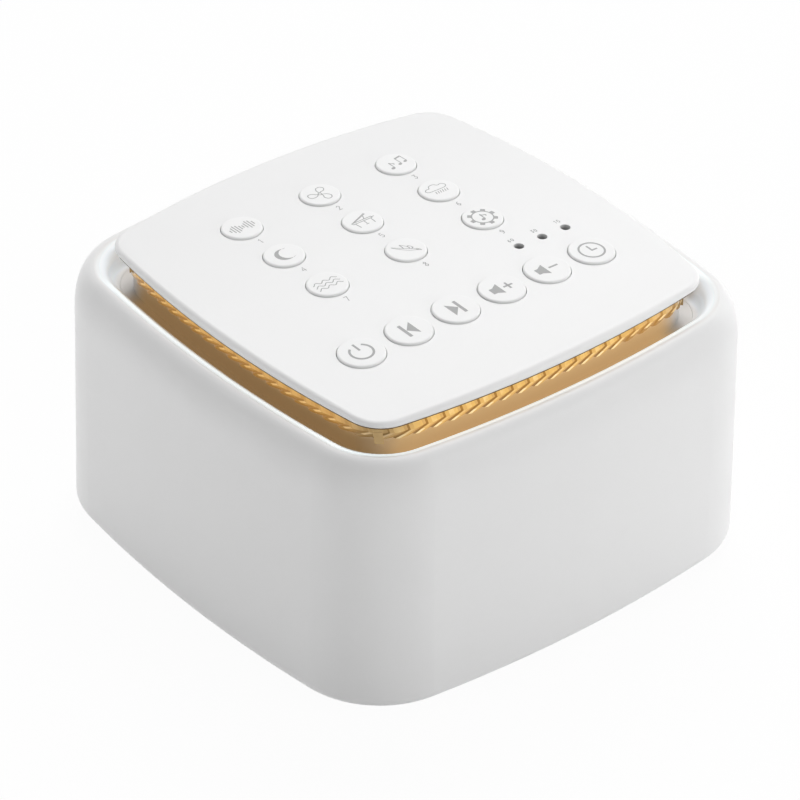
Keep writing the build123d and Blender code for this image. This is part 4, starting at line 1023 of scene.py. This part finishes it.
# ------------------------------------------------------------------ printed symbols
class Pen:
    """Draws flat print in a plane of its own, in millimetres."""

    # Degrees to a step of an arc, its fewest steps and the corners of a disc.
    ARC_DEGREES = 9
    ARC_LEAST = 6
    DISC_CORNERS = 20

    # Least cosine by which a stroke widens at a bend, and the length below which it folds back on itself.
    BEND_LEAST = 0.5
    FOLDED = 1e-6

    def __init__(self, width: float = 0.3) -> None:
        """Starts an empty drawing.

        Args:
            width: stroke width.
        """
        self.width = width
        self.points: list[Point] = []
        self.faces: list[tuple[int, ...]] = []

    def line(self, path: Sequence[Point], width: Optional[float] = None, closed: bool = False) -> "Pen":
        """Draws a stroke along a path.

        Args:
            path: its points.
            width: stroke width; the pen's own if left out.
            closed: whether the end joins the start.

        Returns:
            The pen.
        """
        half = (width or self.width) / 2
        count = len(path)
        start = len(self.points)
        for index, (x, y) in enumerate(path):
            before = path[index - 1] if index or closed else (x, y)
            after = path[(index + 1) % count] if index < count - 1 or closed else (x, y)
            ahead = Vector((after[0] - x, after[1] - y))
            behind = Vector((x - before[0], y - before[1]))
            ahead = ahead.normalized() if ahead.length > TINY else behind.normalized()
            behind = behind.normalized() if behind.length > TINY else ahead
            along = ahead + behind
            along = along.normalized() if along.length > self.FOLDED else ahead
            reach = half / max(self.BEND_LEAST, along.dot(ahead))
            side = (-along.y * reach, along.x * reach)
            self.points += [(x + side[0], y + side[1]), (x - side[0], y - side[1])]
        for index in range(count if closed else count - 1):
            here, there = start + 2 * index, start + 2 * ((index + 1) % count)
            self.faces.append((here, here + 1, there + 1, there))
        return self

    def fill(self, path: Sequence[Point]) -> "Pen":
        """Fills a convex shape.

        Args:
            path: its corners.

        Returns:
            The pen.
        """
        start = len(self.points)
        self.points += list(path)
        self.faces.append(tuple(range(start, start + len(path))))
        return self

    def ring(self, x: float, y: float, radius: float, first: float = 0.0, last: float = 360.0,
             width: Optional[float] = None) -> "Pen":
        """Draws an arc or a full circle, with its angles in degrees.

        Args:
            x: its centre, to the right.
            y: its centre, upwards.
            radius: its radius.
            first: angle of its start.
            last: angle of its end.
            width: stroke width; the pen's own if left out.

        Returns:
            The pen.
        """
        whole = abs(last - first) >= 360
        path = self.arc(x, y, radius, first, last)
        return self.line(path[:-1] if whole else path, width, whole)

    def disc(self, x: float, y: float, across: float, along: float, tilt: float = 0.0) -> "Pen":
        """Fills an ellipse with two half axes and a tilt in degrees.

        Args:
            x: its centre, to the right.
            y: its centre, upwards.
            across: first half axis.
            along: second half axis.
            tilt: angle of the first half axis.

        Returns:
            The pen.
        """
        turns = [index * math.pi / (self.DISC_CORNERS / 2) for index in range(self.DISC_CORNERS)]
        flat = [(across * math.cos(turn), along * math.sin(turn)) for turn in turns]
        return self.fill([(x + a, y + b) for a, b in self.turned(flat, tilt)])

    @staticmethod
    def turned(path: Sequence[Point], angle: float) -> list[Point]:
        """Turns points about the origin.

        Args:
            path: the points.
            angle: the turn, in degrees.

        Returns:
            The turned points.
        """
        cos, sin = math.cos(math.radians(angle)), math.sin(math.radians(angle))
        return [(x * cos - y * sin, x * sin + y * cos) for x, y in path]

    @staticmethod
    def arc(x: float, y: float, radius: float, first: float, last: float) -> list[Point]:
        """Points along an arc, with angles in degrees.

        Args:
            x: its centre, to the right.
            y: its centre, upwards.
            radius: its radius.
            first: angle of the first point.
            last: angle of the last point.

        Returns:
            The points.
        """
        steps = max(Pen.ARC_LEAST, int(abs(last - first) / Pen.ARC_DEGREES))
        angles = [math.radians(first + (last - first) * step / steps) for step in range(steps + 1)]
        return [(x + radius * math.cos(angle), y + radius * math.sin(angle)) for angle in angles]

    @staticmethod
    def flow(points: Sequence[Point], closed: bool = False, steps: int = 5) -> list[Point]:
        """Smooth path through a few points.

        Args:
            points: the points to pass.
            closed: whether the path is a loop.
            steps: pieces between two points.

        Returns:
            The finer path.
        """
        count = len(points)
        path: list[Point] = []
        for index in range(count if closed else count - 1):
            around = [points[(index + k) % count] if closed else points[min(max(index + k, 0), count - 1)]
                      for k in (-1, 0, 1, 2)]
            for step in range(steps):
                t = step / steps
                path.append(tuple(0.5 * (2 * b + (c - a) * t + (2 * a - 5 * b + 4 * c - d) * t * t
                                         + (3 * b - a - 3 * c + d) * t ** 3) for a, b, c, d in zip(*around)))
        return path if closed else path + [points[-1]]


class Symbol:
    """The machine's own set of plain symbols, each drawn about the middle of its button."""

    @staticmethod
    def white_noise() -> Pen:
        """Row of bars like a sound level.

        Returns:
            The drawing.
        """
        pen = Pen(0.26)
        pitch = 0.6
        heights = (0.9, 2.1, 3.0, 2.5, 1.5, 1.0, 1.9, 3.0, 2.6, 1.3)
        for index, height in enumerate(heights):
            x = (index - (len(heights) - 1) / 2) * pitch
            pen.line([(x, -height / 2), (x, height / 2)])
        return pen

    @staticmethod
    def fan() -> Pen:
        """Three blades around a hub.

        Returns:
            The drawing.
        """
        pen = Pen(0.2).ring(0, 0, 0.36)
        blade = Pen.flow([(0.36, 0.22), (0.66, 1.1), (1.5, 1.68), (2.3, 1.3), (2.4, 0.5), (1.63, 0.05),
                          (0.82, 0.26)], True)
        for turn in (25, 145, 265):
            pen.line(Pen.turned(blade, turn), closed=True)
        return pen

    @staticmethod
    def melody() -> Pen:
        """A single note and a pair of joined notes.

        Returns:
            The drawing.
        """
        pen = Pen(0.2)
        pen.disc(-1.65, -1.25, 0.52, 0.38, 20).line([(-1.2, -1.15), (-1.2, 1.0)])
        pen.line(Pen.flow([(-1.2, 1.0), (-0.95, 0.5), (-0.5, 0.3), (-0.55, -0.15)]), 0.26)
        pen.disc(0.55, -0.7, 0.45, 0.34, 20).disc(2.1, -0.35, 0.45, 0.34, 20)
        pen.line([(0.95, -0.6), (0.95, 1.55)]).line([(2.5, -0.25), (2.5, 1.9)])
        return pen.line([(0.87, 1.6), (2.58, 1.95)], 0.42)

    @staticmethod
    def moon() -> Pen:
        """Crescent moon.

        Returns:
            The drawing.
        """
        pen = Pen(0.3)
        outer = Pen.arc(0.1, 0.0, 2.0, 60, 300)
        inner = Pen.arc(0.95, 0.0, 1.86, 68, 292)
        last, inner_last = len(outer) - 1, len(inner) - 1
        for index in range(last):
            facing = min(inner_last - 1, round(index / last * inner_last))
            pen.fill([outer[index], outer[index + 1], inner[facing + 1], inner[facing]])
        return pen

    @staticmethod
    def piano() -> Pen:
        """Grand piano from the side, with its lid up.

        Returns:
            The drawing.
        """
        pen = Pen(0.2)
        pen.line([(-2.5, 0.35), (2.3, 0.35), (2.3, -0.15), (-2.3, -0.15), (-2.5, 0.35)])
        lid = ((-2.2, 0.4), (1.9, 2.1)), ((-2.0, 0.35), (1.95, 1.85)), ((0.7, 0.4), (1.25, 1.65))
        keys_legs = ((2.3, 0.1), (2.95, 0.1)), ((-1.9, -0.15), (-1.75, -1.9)), ((1.9, -0.15), (1.75, -1.9))
        pedals = ((0.15, -0.15), (0.15, -1.3)), ((-0.2, -1.5), (0.5, -1.5))
        for stroke in (*lid, *keys_legs, *pedals):
            pen.line(stroke)
        return pen

    @staticmethod
    def rain() -> Pen:
        """Cloud over slanted rain.

        Returns:
            The drawing.
        """
        cloud = Pen.flow([(-2.3, 0.15), (-2.75, 0.8), (-2.1, 1.35), (-1.5, 1.3), (-0.9, 2.1), (0.2, 2.2),
                          (0.85, 1.55), (1.7, 1.65), (2.3, 1.05), (2.0, 0.35), (1.0, 0.1), (-0.9, 0.1)], True)
        pen = Pen(0.18).line(cloud, closed=True)
        drops, first, pitch = 6, -1.3, 0.56
        for index in range(drops):
            x = first + index * pitch
            pen.line([(x + 0.18, -0.35), (x - 0.1, -1.25)])
        return pen

    @staticmethod
    def waves() -> Pen:
        """Three rows of waves.

        Returns:
            The drawing.
        """
        pen = Pen(0.2)
        half, pitch, crest, turn = 15, 0.19, 0.32, 0.63
        for y in (-1.05, 0.0, 1.05):
            heights = [y - crest * math.cos(step * turn) for step in range(2 * half + 1)]
            pen.line([(pitch * (step - half), height) for step, height in enumerate(heights)])
        return pen

    @staticmethod
    def birds() -> Pen:
        """Bird in flight, in outline: drawn level, then stretched and turned by an eighth of a turn.

        Returns:
            The drawing.
        """
        body = Pen.flow([(2.6, 0.35), (2.0, 0.75), (1.3, 0.6), (0.4, 0.5), (-0.6, 0.15), (-2.6, 0.1),
                         (-1.7, -0.35), (-0.6, -0.6), (0.7, -0.55), (1.7, 0.0), (2.2, 0.25)], True)
        pen = Pen(0.22).line(body, closed=True)
        pen.line(Pen.flow([(0.6, 0.5), (0.1, 1.5), (-1.3, 2.0), (-0.9, 1.1), (-0.5, 0.2)]))
        pen.line(Pen.flow([(0.9, 0.55), (1.0, 1.5), (0.3, 2.1), (0.0, 1.6)])).disc(1.9, 0.42, 0.3, 0.2)
        long, tall, size, drop = 1.1, 0.6, 0.72, 0.1
        stretched = [(long * x, tall * y) for x, y in pen.points]
        pen.points = [((x + y) * size, (y - x) * size - drop) for x, y in stretched]
        return pen

    @staticmethod
    def custom() -> Pen:
        """Toothed wheel around a note.

        Returns:
            The drawing.
        """
        pen = Pen(0.28).ring(0, 0, 2.2)
        teeth, foot, tip = 8, 13, 9
        for index in range(teeth):
            angle = index * 360 / teeth + 5
            inner = Pen.arc(0, 0, 2.3, angle - foot, angle + foot)
            pen.fill(inner + Pen.arc(0, 0, 3.03, angle + tip, angle - tip))
        pen.disc(-0.35, -0.75, 0.5, 0.38, 20).line([(0.08, -0.65), (0.08, 1.15)])
        return pen.line(Pen.flow([(0.08, 1.15), (0.4, 0.6), (0.95, 0.45), (0.95, 0.0)]), 0.28)

    @staticmethod
    def power() -> Pen:
        """Open circle with a bar."""
        return Pen(0.48).ring(0, 0, 2.3, 125, 415).line([(0, 0.5), (0, 2.8)])

    @staticmethod
    def previous() -> Pen:
        """Bar and a triangle that points at it."""
        return Pen(0.7).line([(-1.0, -2.1), (-1.0, 2.1)]).fill([(-0.6, 0.0), (1.35, -2.05), (1.35, 2.05)])

    @staticmethod
    def next() -> Pen:
        """Triangle that points at a bar."""
        return Pen(0.7).line([(1.0, -2.1), (1.0, 2.1)]).fill([(0.6, 0.0), (-1.35, 2.05), (-1.35, -2.05)])

    @staticmethod
    def _loudspeaker(pen: Pen) -> Pen:
        """Filled loudspeaker at the left."""
        pen.fill([(-2.6, -0.9), (-1.7, -0.9), (-1.7, 0.9), (-2.6, 0.9)])
        return pen.fill([(-1.7, -0.9), (-0.3, -1.75), (-0.3, 1.75), (-1.7, 0.9)])

    @staticmethod
    def volume_up() -> Pen:
        """Loudspeaker with a plus."""
        return Symbol._loudspeaker(Pen(0.46)).line([(0.4, 0), (2.6, 0)]).line([(1.5, -1.1), (1.5, 1.1)])

    @staticmethod
    def volume_down() -> Pen:
        """Loudspeaker with a minus."""
        return Symbol._loudspeaker(Pen(0.46)).line([(0.4, 0), (2.6, 0)])

    @staticmethod
    def timer() -> Pen:
        """Clock face with two hands."""
        return Pen(0.42).ring(0, 0, 2.57).line([(0, 1.65), (0, -0.1), (1.3, -0.1)])


@dataclass(frozen=True)
class Numeral:
    """Plain numbers drawn with a thin stroke.

    Attributes:
        height: height of a digit.
        width: width of a digit.
        stroke: stroke width.
        gap: space between two digits.
    """

    height: float = 1.5
    width: float = 0.85
    stroke: float = 0.17
    gap: float = 0.35

    SHAPES = {
        "0": [[(0.5, 1), (0.1, 0.75), (0.1, 0.25), (0.5, 0), (0.9, 0.25), (0.9, 0.75), (0.5, 1)]],
        "1": [[(0.2, 0.8), (0.55, 1), (0.55, 0)]],
        "2": [[(0.1, 0.78), (0.5, 1), (0.9, 0.74), (0.1, 0), (0.95, 0)]],
        "3": [[(0.1, 1), (0.85, 1), (0.45, 0.6), (0.9, 0.32), (0.5, 0), (0.05, 0.18)]],
        "4": [[(0.72, 0), (0.72, 1), (0.05, 0.3), (1, 0.3)]],
        "5": [[(0.85, 1), (0.2, 1), (0.13, 0.56), (0.6, 0.62), (0.92, 0.3), (0.5, 0), (0.05, 0.12)]],
        "6": [[(0.8, 0.95), (0.3, 0.75), (0.1, 0.3), (0.5, 0), (0.9, 0.28), (0.5, 0.56), (0.14, 0.4)]],
        "7": [[(0.05, 1), (0.92, 1), (0.38, 0)]],
        "8": [[(0.5, 0.54), (0.15, 0.78), (0.5, 1), (0.85, 0.78), (0.5, 0.54), (0.08, 0.26), (0.5, 0),
               (0.92, 0.26), (0.5, 0.54)]],
        "9": [[(0.86, 0.6), (0.5, 0.44), (0.1, 0.72), (0.5, 1), (0.9, 0.7), (0.7, 0.25), (0.2, 0.05)]],
    }

    def write(self, text: str) -> Pen:
        """Writes a number centred on the origin.

        Args:
            text: its digits.

        Returns:
            The drawing.
        """
        pen = Pen(self.stroke)
        total = len(text) * self.width + (len(text) - 1) * self.gap
        for index, digit in enumerate(text):
            left = -total / 2 + index * (self.width + self.gap)
            for path in self.SHAPES[digit]:
                pen.line([(left + x * self.width, (y - 0.5) * self.height) for x, y in path])
        return pen


# ------------------------------------------------------------------ groups of frame nodes
def middle(node: str) -> Point:
    """Middle of a frame node in plan, in millimetres."""
    low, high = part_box(node)
    return ((low.x + high.x) / 2 / MM, (low.y + high.y) / 2 / MM)


class Assembly:
    """Group of frame nodes that keep their own shape.

    Attributes:
        FINISHES: each finish with the names of the nodes that get it.
    """

    FINISHES: tuple[tuple[Finish, tuple[str, ...]], ...] = ()

    def dress(self, frame: dict) -> None:
        """Gives the group's nodes their finishes.
        """
        for finish, nodes in self.FINISHES:
            for name in nodes:
                for slot in frame["nodes"][name].material_slots:
                    slot.material = finish.material()
                LOG.info("%s: %s", name, finish.name)


@dataclass
class Enclosure(Assembly):
    """Housing, deck, base cover, feet and screws."""

    FINISHES = (
        (Palette.housing, ("outer_housing",)),
        (Palette.deck, ("light_deck",)),
        (Palette.base, ("base_cover",)),
        (Palette.rubber, ("rubber_feet",)),
        (Palette.screw, ("base_screws", "inner_screws")),
    )


@dataclass
class Electronics(Assembly):
    """Boards, switches, lamps, leads and the power socket."""

    FINISHES = (
        (Palette.board, ("button_board", "main_board")),
        (Palette.white_board, ("lamp_board",)),
        (Palette.lamp, ("ring_lamps",)),
        (Palette.switch, ("switch_bodies",)),
        (Palette.chip, ("board_components",)),
        (Palette.ribbon, ("panel_ribbon",)),
        (Palette.lead, ("speaker_lead",)),
        (Palette.socket, ("power_socket_shell",)),
        (Palette.tongue, ("power_socket_tongue",)),
    )


@dataclass
class Speaker(Assembly):
    """Full-range speaker behind the grille."""

    FINISHES = (
        (Palette.foam, ("speaker_gasket",)),
        (Palette.frame, ("speaker_frame",)),
        (Palette.plate, ("speaker_front_plate", "speaker_yoke")),
        (Palette.ferrite, ("speaker_magnet",)),
        (Palette.surround, ("speaker_surround",)),
        (Palette.spider, ("speaker_spider",)),
        (Palette.pulp, ("speaker_cone", "speaker_dust_cap")),
        (Palette.coil, ("speaker_voice_coil",)),
    )


# ------------------------------------------------------------------ control panel
@dataclass
class ControlPanel(Assembly):
    """Panel, caps and everything printed on them.

    Attributes:
        dome: the panel's surface.
        proud: height of the caps above it.
        film: thickness that lifts the print off its surface.
        label_drop: how far in front of its button a number stands.
        timer_rise: how far behind its light a timer's number stands.
        light_radius: radius of a timer light.
    """

    dome: Dome = Dome()
    proud: float = 0.45
    film: float = 0.013
    label_drop: float = 6.0
    timer_rise: float = 2.5
    light_radius: float = 0.95

    SOUNDS = ("white_noise", "fan", "melody", "moon", "piano", "rain", "waves", "birds", "custom")
    CONTROLS = ("power", "previous", "next", "volume_up", "volume_down", "timer")
    TIMES = ("60", "30", "15")
    NUMBER = Numeral()
    SMALL_NUMBER = Numeral(0.9, 0.52, 0.17, 0.24)
    FINISHES = (
        (Palette.panel, ("top_panel",)),
        (Palette.cap, tuple(f"button_{name}" for name in SOUNDS + CONTROLS)),
        (Palette.plunger, tuple(f"plunger_{name}" for name in SOUNDS + CONTROLS)),
        (Palette.pipe, ("timer_lights",)),
    )

    def stamp(self, name: str, pen: Pen, x: float, y: float, lift: float, body: str) -> bpy.types.Object:
        """Lays a drawing on the dome.

        Args:
            name: object name.
            pen: the drawing.
            x: its middle, towards the right.
            y: its middle, towards the back.
            lift: height above the panel.
            body: frame body it moves with.

        Returns:
            The print.
        """
        flat = [(x + right, y + back) for right, back in pen.points]
        points = [(*place, self.dome.height(*place) + lift + self.film) for place in flat]
        return Maker.piece(name, points, pen.faces, body, "button_white", Palette.ink)

    def build(self) -> None:
        """Prints every symbol and number."""
        for name in self.SOUNDS + self.CONTROLS:
            x, y = middle(f"button_{name}")
            self.stamp(f"symbol_{name}", getattr(Symbol, name)(), x, y, self.proud, f"key_{name}")
        for index, name in enumerate(self.SOUNDS, 1):
            x, y = middle(f"button_{name}")
            number = self.NUMBER.write(str(index))
            self.stamp(f"number_{index}", number, x, y - self.label_drop, 0.0, "housing")
        low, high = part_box("timer_lights")
        y = (low.y + high.y) / 2 / MM + self.timer_rise
        first = low.x / MM + self.light_radius
        step = ((high.x - low.x) / MM - 2 * self.light_radius) / (len(self.TIMES) - 1)
        for index, text in enumerate(self.TIMES):
            number = self.SMALL_NUMBER.write(text)
            self.stamp(f"time_{text}", number, first + index * step, y, 0.0, "housing")


# ------------------------------------------------------------------ camera, floor and light
@dataclass(frozen=True)
class Softbox:
    """Square lamp that faces the machine.

    Attributes:
        name: its name.
        place: where it hangs, in metres.
        side: length of its side, in metres.
        power: watts.
        shows: whether it is seen in reflections.
    """

    name: str
    place: Place
    side: float
    power: float
    shows: bool = False

    TARGET = Vector((0.0, 0.0, 0.03))

    def hang(self) -> None:
        """Puts the lamp in the scene."""
        data = bpy.data.lights.new(self.name, "AREA")
        data.size, data.energy = self.side, self.power
        lamp = bpy.data.objects.new(self.name, data)
        lamp.location = self.place
        lamp.rotation_euler = (self.TARGET - Vector(self.place)).to_track_quat("-Z", "Y").to_euler()
        lamp.visible_glossy = self.shows
        bpy.context.scene.collection.objects.link(lamp)


@dataclass
class Studio:
    """White table, soft light and the camera.

    Attributes:
        azimuth: degrees from the front, negative to the left.
        elevation: degrees above the table.
        roll: turn about the view, in degrees.
        distance: camera to target.
        target: height looked at.
        lens: focal length.
        sensor: width of the sensor.
        shift: sideways and upward shift of the view.
        clip: nearest and farthest distance seen, in metres.
        table_size: half the side of the table, in metres.
        table_cells: squares along a side of the table.
    """

    azimuth: float = -40.03
    elevation: float = 34.19
    roll: float = 0.919
    distance: float = 821.5
    target: float = 28.84
    lens: float = 186.51
    sensor: float = 36.0
    shift: Point = (-0.0045, -0.0040)
    clip: Span = (0.05, 20.0)
    table_size: float = 3.0
    table_cells: int = 8

    # Colour of the table in the light, and how much of what the camera sees of it is plain white.
    TABLE_COLOUR = (0.9, 0.9, 0.9)
    TABLE_WHITE = 0.96
    WHITE = (1.0, 1.0, 1.0)

    # Light of the sky: at the level of the table, what is added overhead, and the step between them.
    SKY = (0.19, 0.02)
    SKY_STEP = (0.0, 0.9)
    SOFTBOXES = (
        Softbox("back", (1.326, 1.194, 2.158), 2.0, 51.0),
        Softbox("front", (0.3, -0.8, 1.1), 1.0, 2.0),
        Softbox("sheen", (0.688, 0.688, 1.007), 1.0, 3.0, True),
        Softbox("right", (0.609, -1.098, 0.336), 0.6, 6.2),
        Softbox("left", (-1.237, 0.331, 0.226), 0.45, 4.1),
    )

    def aim(self) -> None:
        """Places the camera."""
        az, el, roll = (math.radians(a) for a in (self.azimuth, self.elevation, self.roll))
        back = Vector((math.sin(az) * math.cos(el), -math.cos(az) * math.cos(el), math.sin(el)))
        right = Vector((math.cos(az), math.sin(az), 0.0))
        up = back.cross(right)
        rolled = right * math.cos(roll) + up * math.sin(roll)
        upright = up * math.cos(roll) - right * math.sin(roll)
        camera = bpy.data.cameras.new("camera")
        camera.lens, camera.sensor_width, camera.sensor_fit = self.lens, self.sensor, "HORIZONTAL"
        camera.shift_x, camera.shift_y = self.shift
        camera.clip_start, camera.clip_end = self.clip
        holder = bpy.data.objects.new("camera", camera)
        turned = Matrix((rolled, upright, back)).transposed().to_4x4()
        place = (back * self.distance + Vector((0, 0, self.target))) * MM
        holder.matrix_world = Matrix.Translation(place) @ turned
        bpy.context.scene.collection.objects.link(holder)
        bpy.context.scene.camera = holder

    @staticmethod
    def looking(recipe: Recipe) -> Signal:
        """Tells what a ray is for.

        Args:
            recipe: the node tree.

        Returns:
            1 for rays from the camera, a reflection or through glass, and 0 for light.
        """
        camera = recipe.add("ShaderNodeLightPath", {}, {}, "Is Camera Ray")
        outputs = camera.socket.node.outputs
        glossy, through = (Signal(recipe, outputs[name]) for name in ("Is Glossy Ray", "Is Transmission Ray"))
        return camera.upper(glossy).upper(through)

    def floor(self) -> None:
        """Lays the table, which reads white and keeps a soft shadow."""
        grid = bmesh.new()
        cells = self.table_cells
        bmesh.ops.create_grid(grid, x_segments=cells, y_segments=cells, size=self.table_size)
        mesh = bpy.data.meshes.new("table")
        grid.to_mesh(mesh)
        grid.free()
        table = bpy.data.objects.new("table", mesh)
        bpy.context.scene.collection.objects.link(table)
        material = bpy.data.materials.new("table_white")
        material.use_nodes = True
        recipe = Recipe(material.node_tree)
        matt = recipe.add("ShaderNodeBsdfDiffuse", {}, {"Color": self.TABLE_COLOUR})
        white = recipe.add("ShaderNodeEmission", {}, {"Color": self.WHITE, "Strength": 1.0})
        share = self.looking(recipe) * self.TABLE_WHITE
        surface = recipe.add("ShaderNodeMixShader", {}, {0: share, 1: matt, 2: white})
        recipe.add("ShaderNodeOutputMaterial", {}, {"Surface": surface})
        mesh.materials.append(material)

    def sky(self) -> None:
        """Sets a white world: brightest overhead, and pure white to the camera."""
        world = bpy.data.worlds.new("studio")
        bpy.context.scene.world = world
        world.use_nodes = True
        recipe = Recipe(world.node_tree)
        direction = recipe.add("ShaderNodeTexCoord", {}, {}, "Generated")
        upward = recipe.add("ShaderNodeSeparateXYZ", {}, {0: direction}, 2)
        low, more = self.SKY
        level = low + upward.ramp(*self.SKY_STEP) * more
        seen = self.looking(recipe)
        strength = level * (1 - seen) + seen
        shader = recipe.add("ShaderNodeBackground", {}, {"Color": self.WHITE, "Strength": strength})
        recipe.add("ShaderNodeOutputWorld", {}, {"Surface": shader})

    def build(self) -> None:
        """Sets up camera, table and lights."""
        self.aim()
        self.floor()
        self.sky()
        for softbox in self.SOFTBOXES:
            softbox.hang()
        bpy.context.scene.view_settings.view_transform = "Standard"


def main() -> None:
    """Builds the machine around its frame."""
    logging.basicConfig(level=logging.INFO, format="%(message)s")
    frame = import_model()
    Studio().build()
    panel = ControlPanel()
    for part in (Enclosure(), Electronics(), Speaker(), panel):
        part.dress(frame)
    panel.build()
    LightRing().build()


if __name__ == "__main__":
    main()
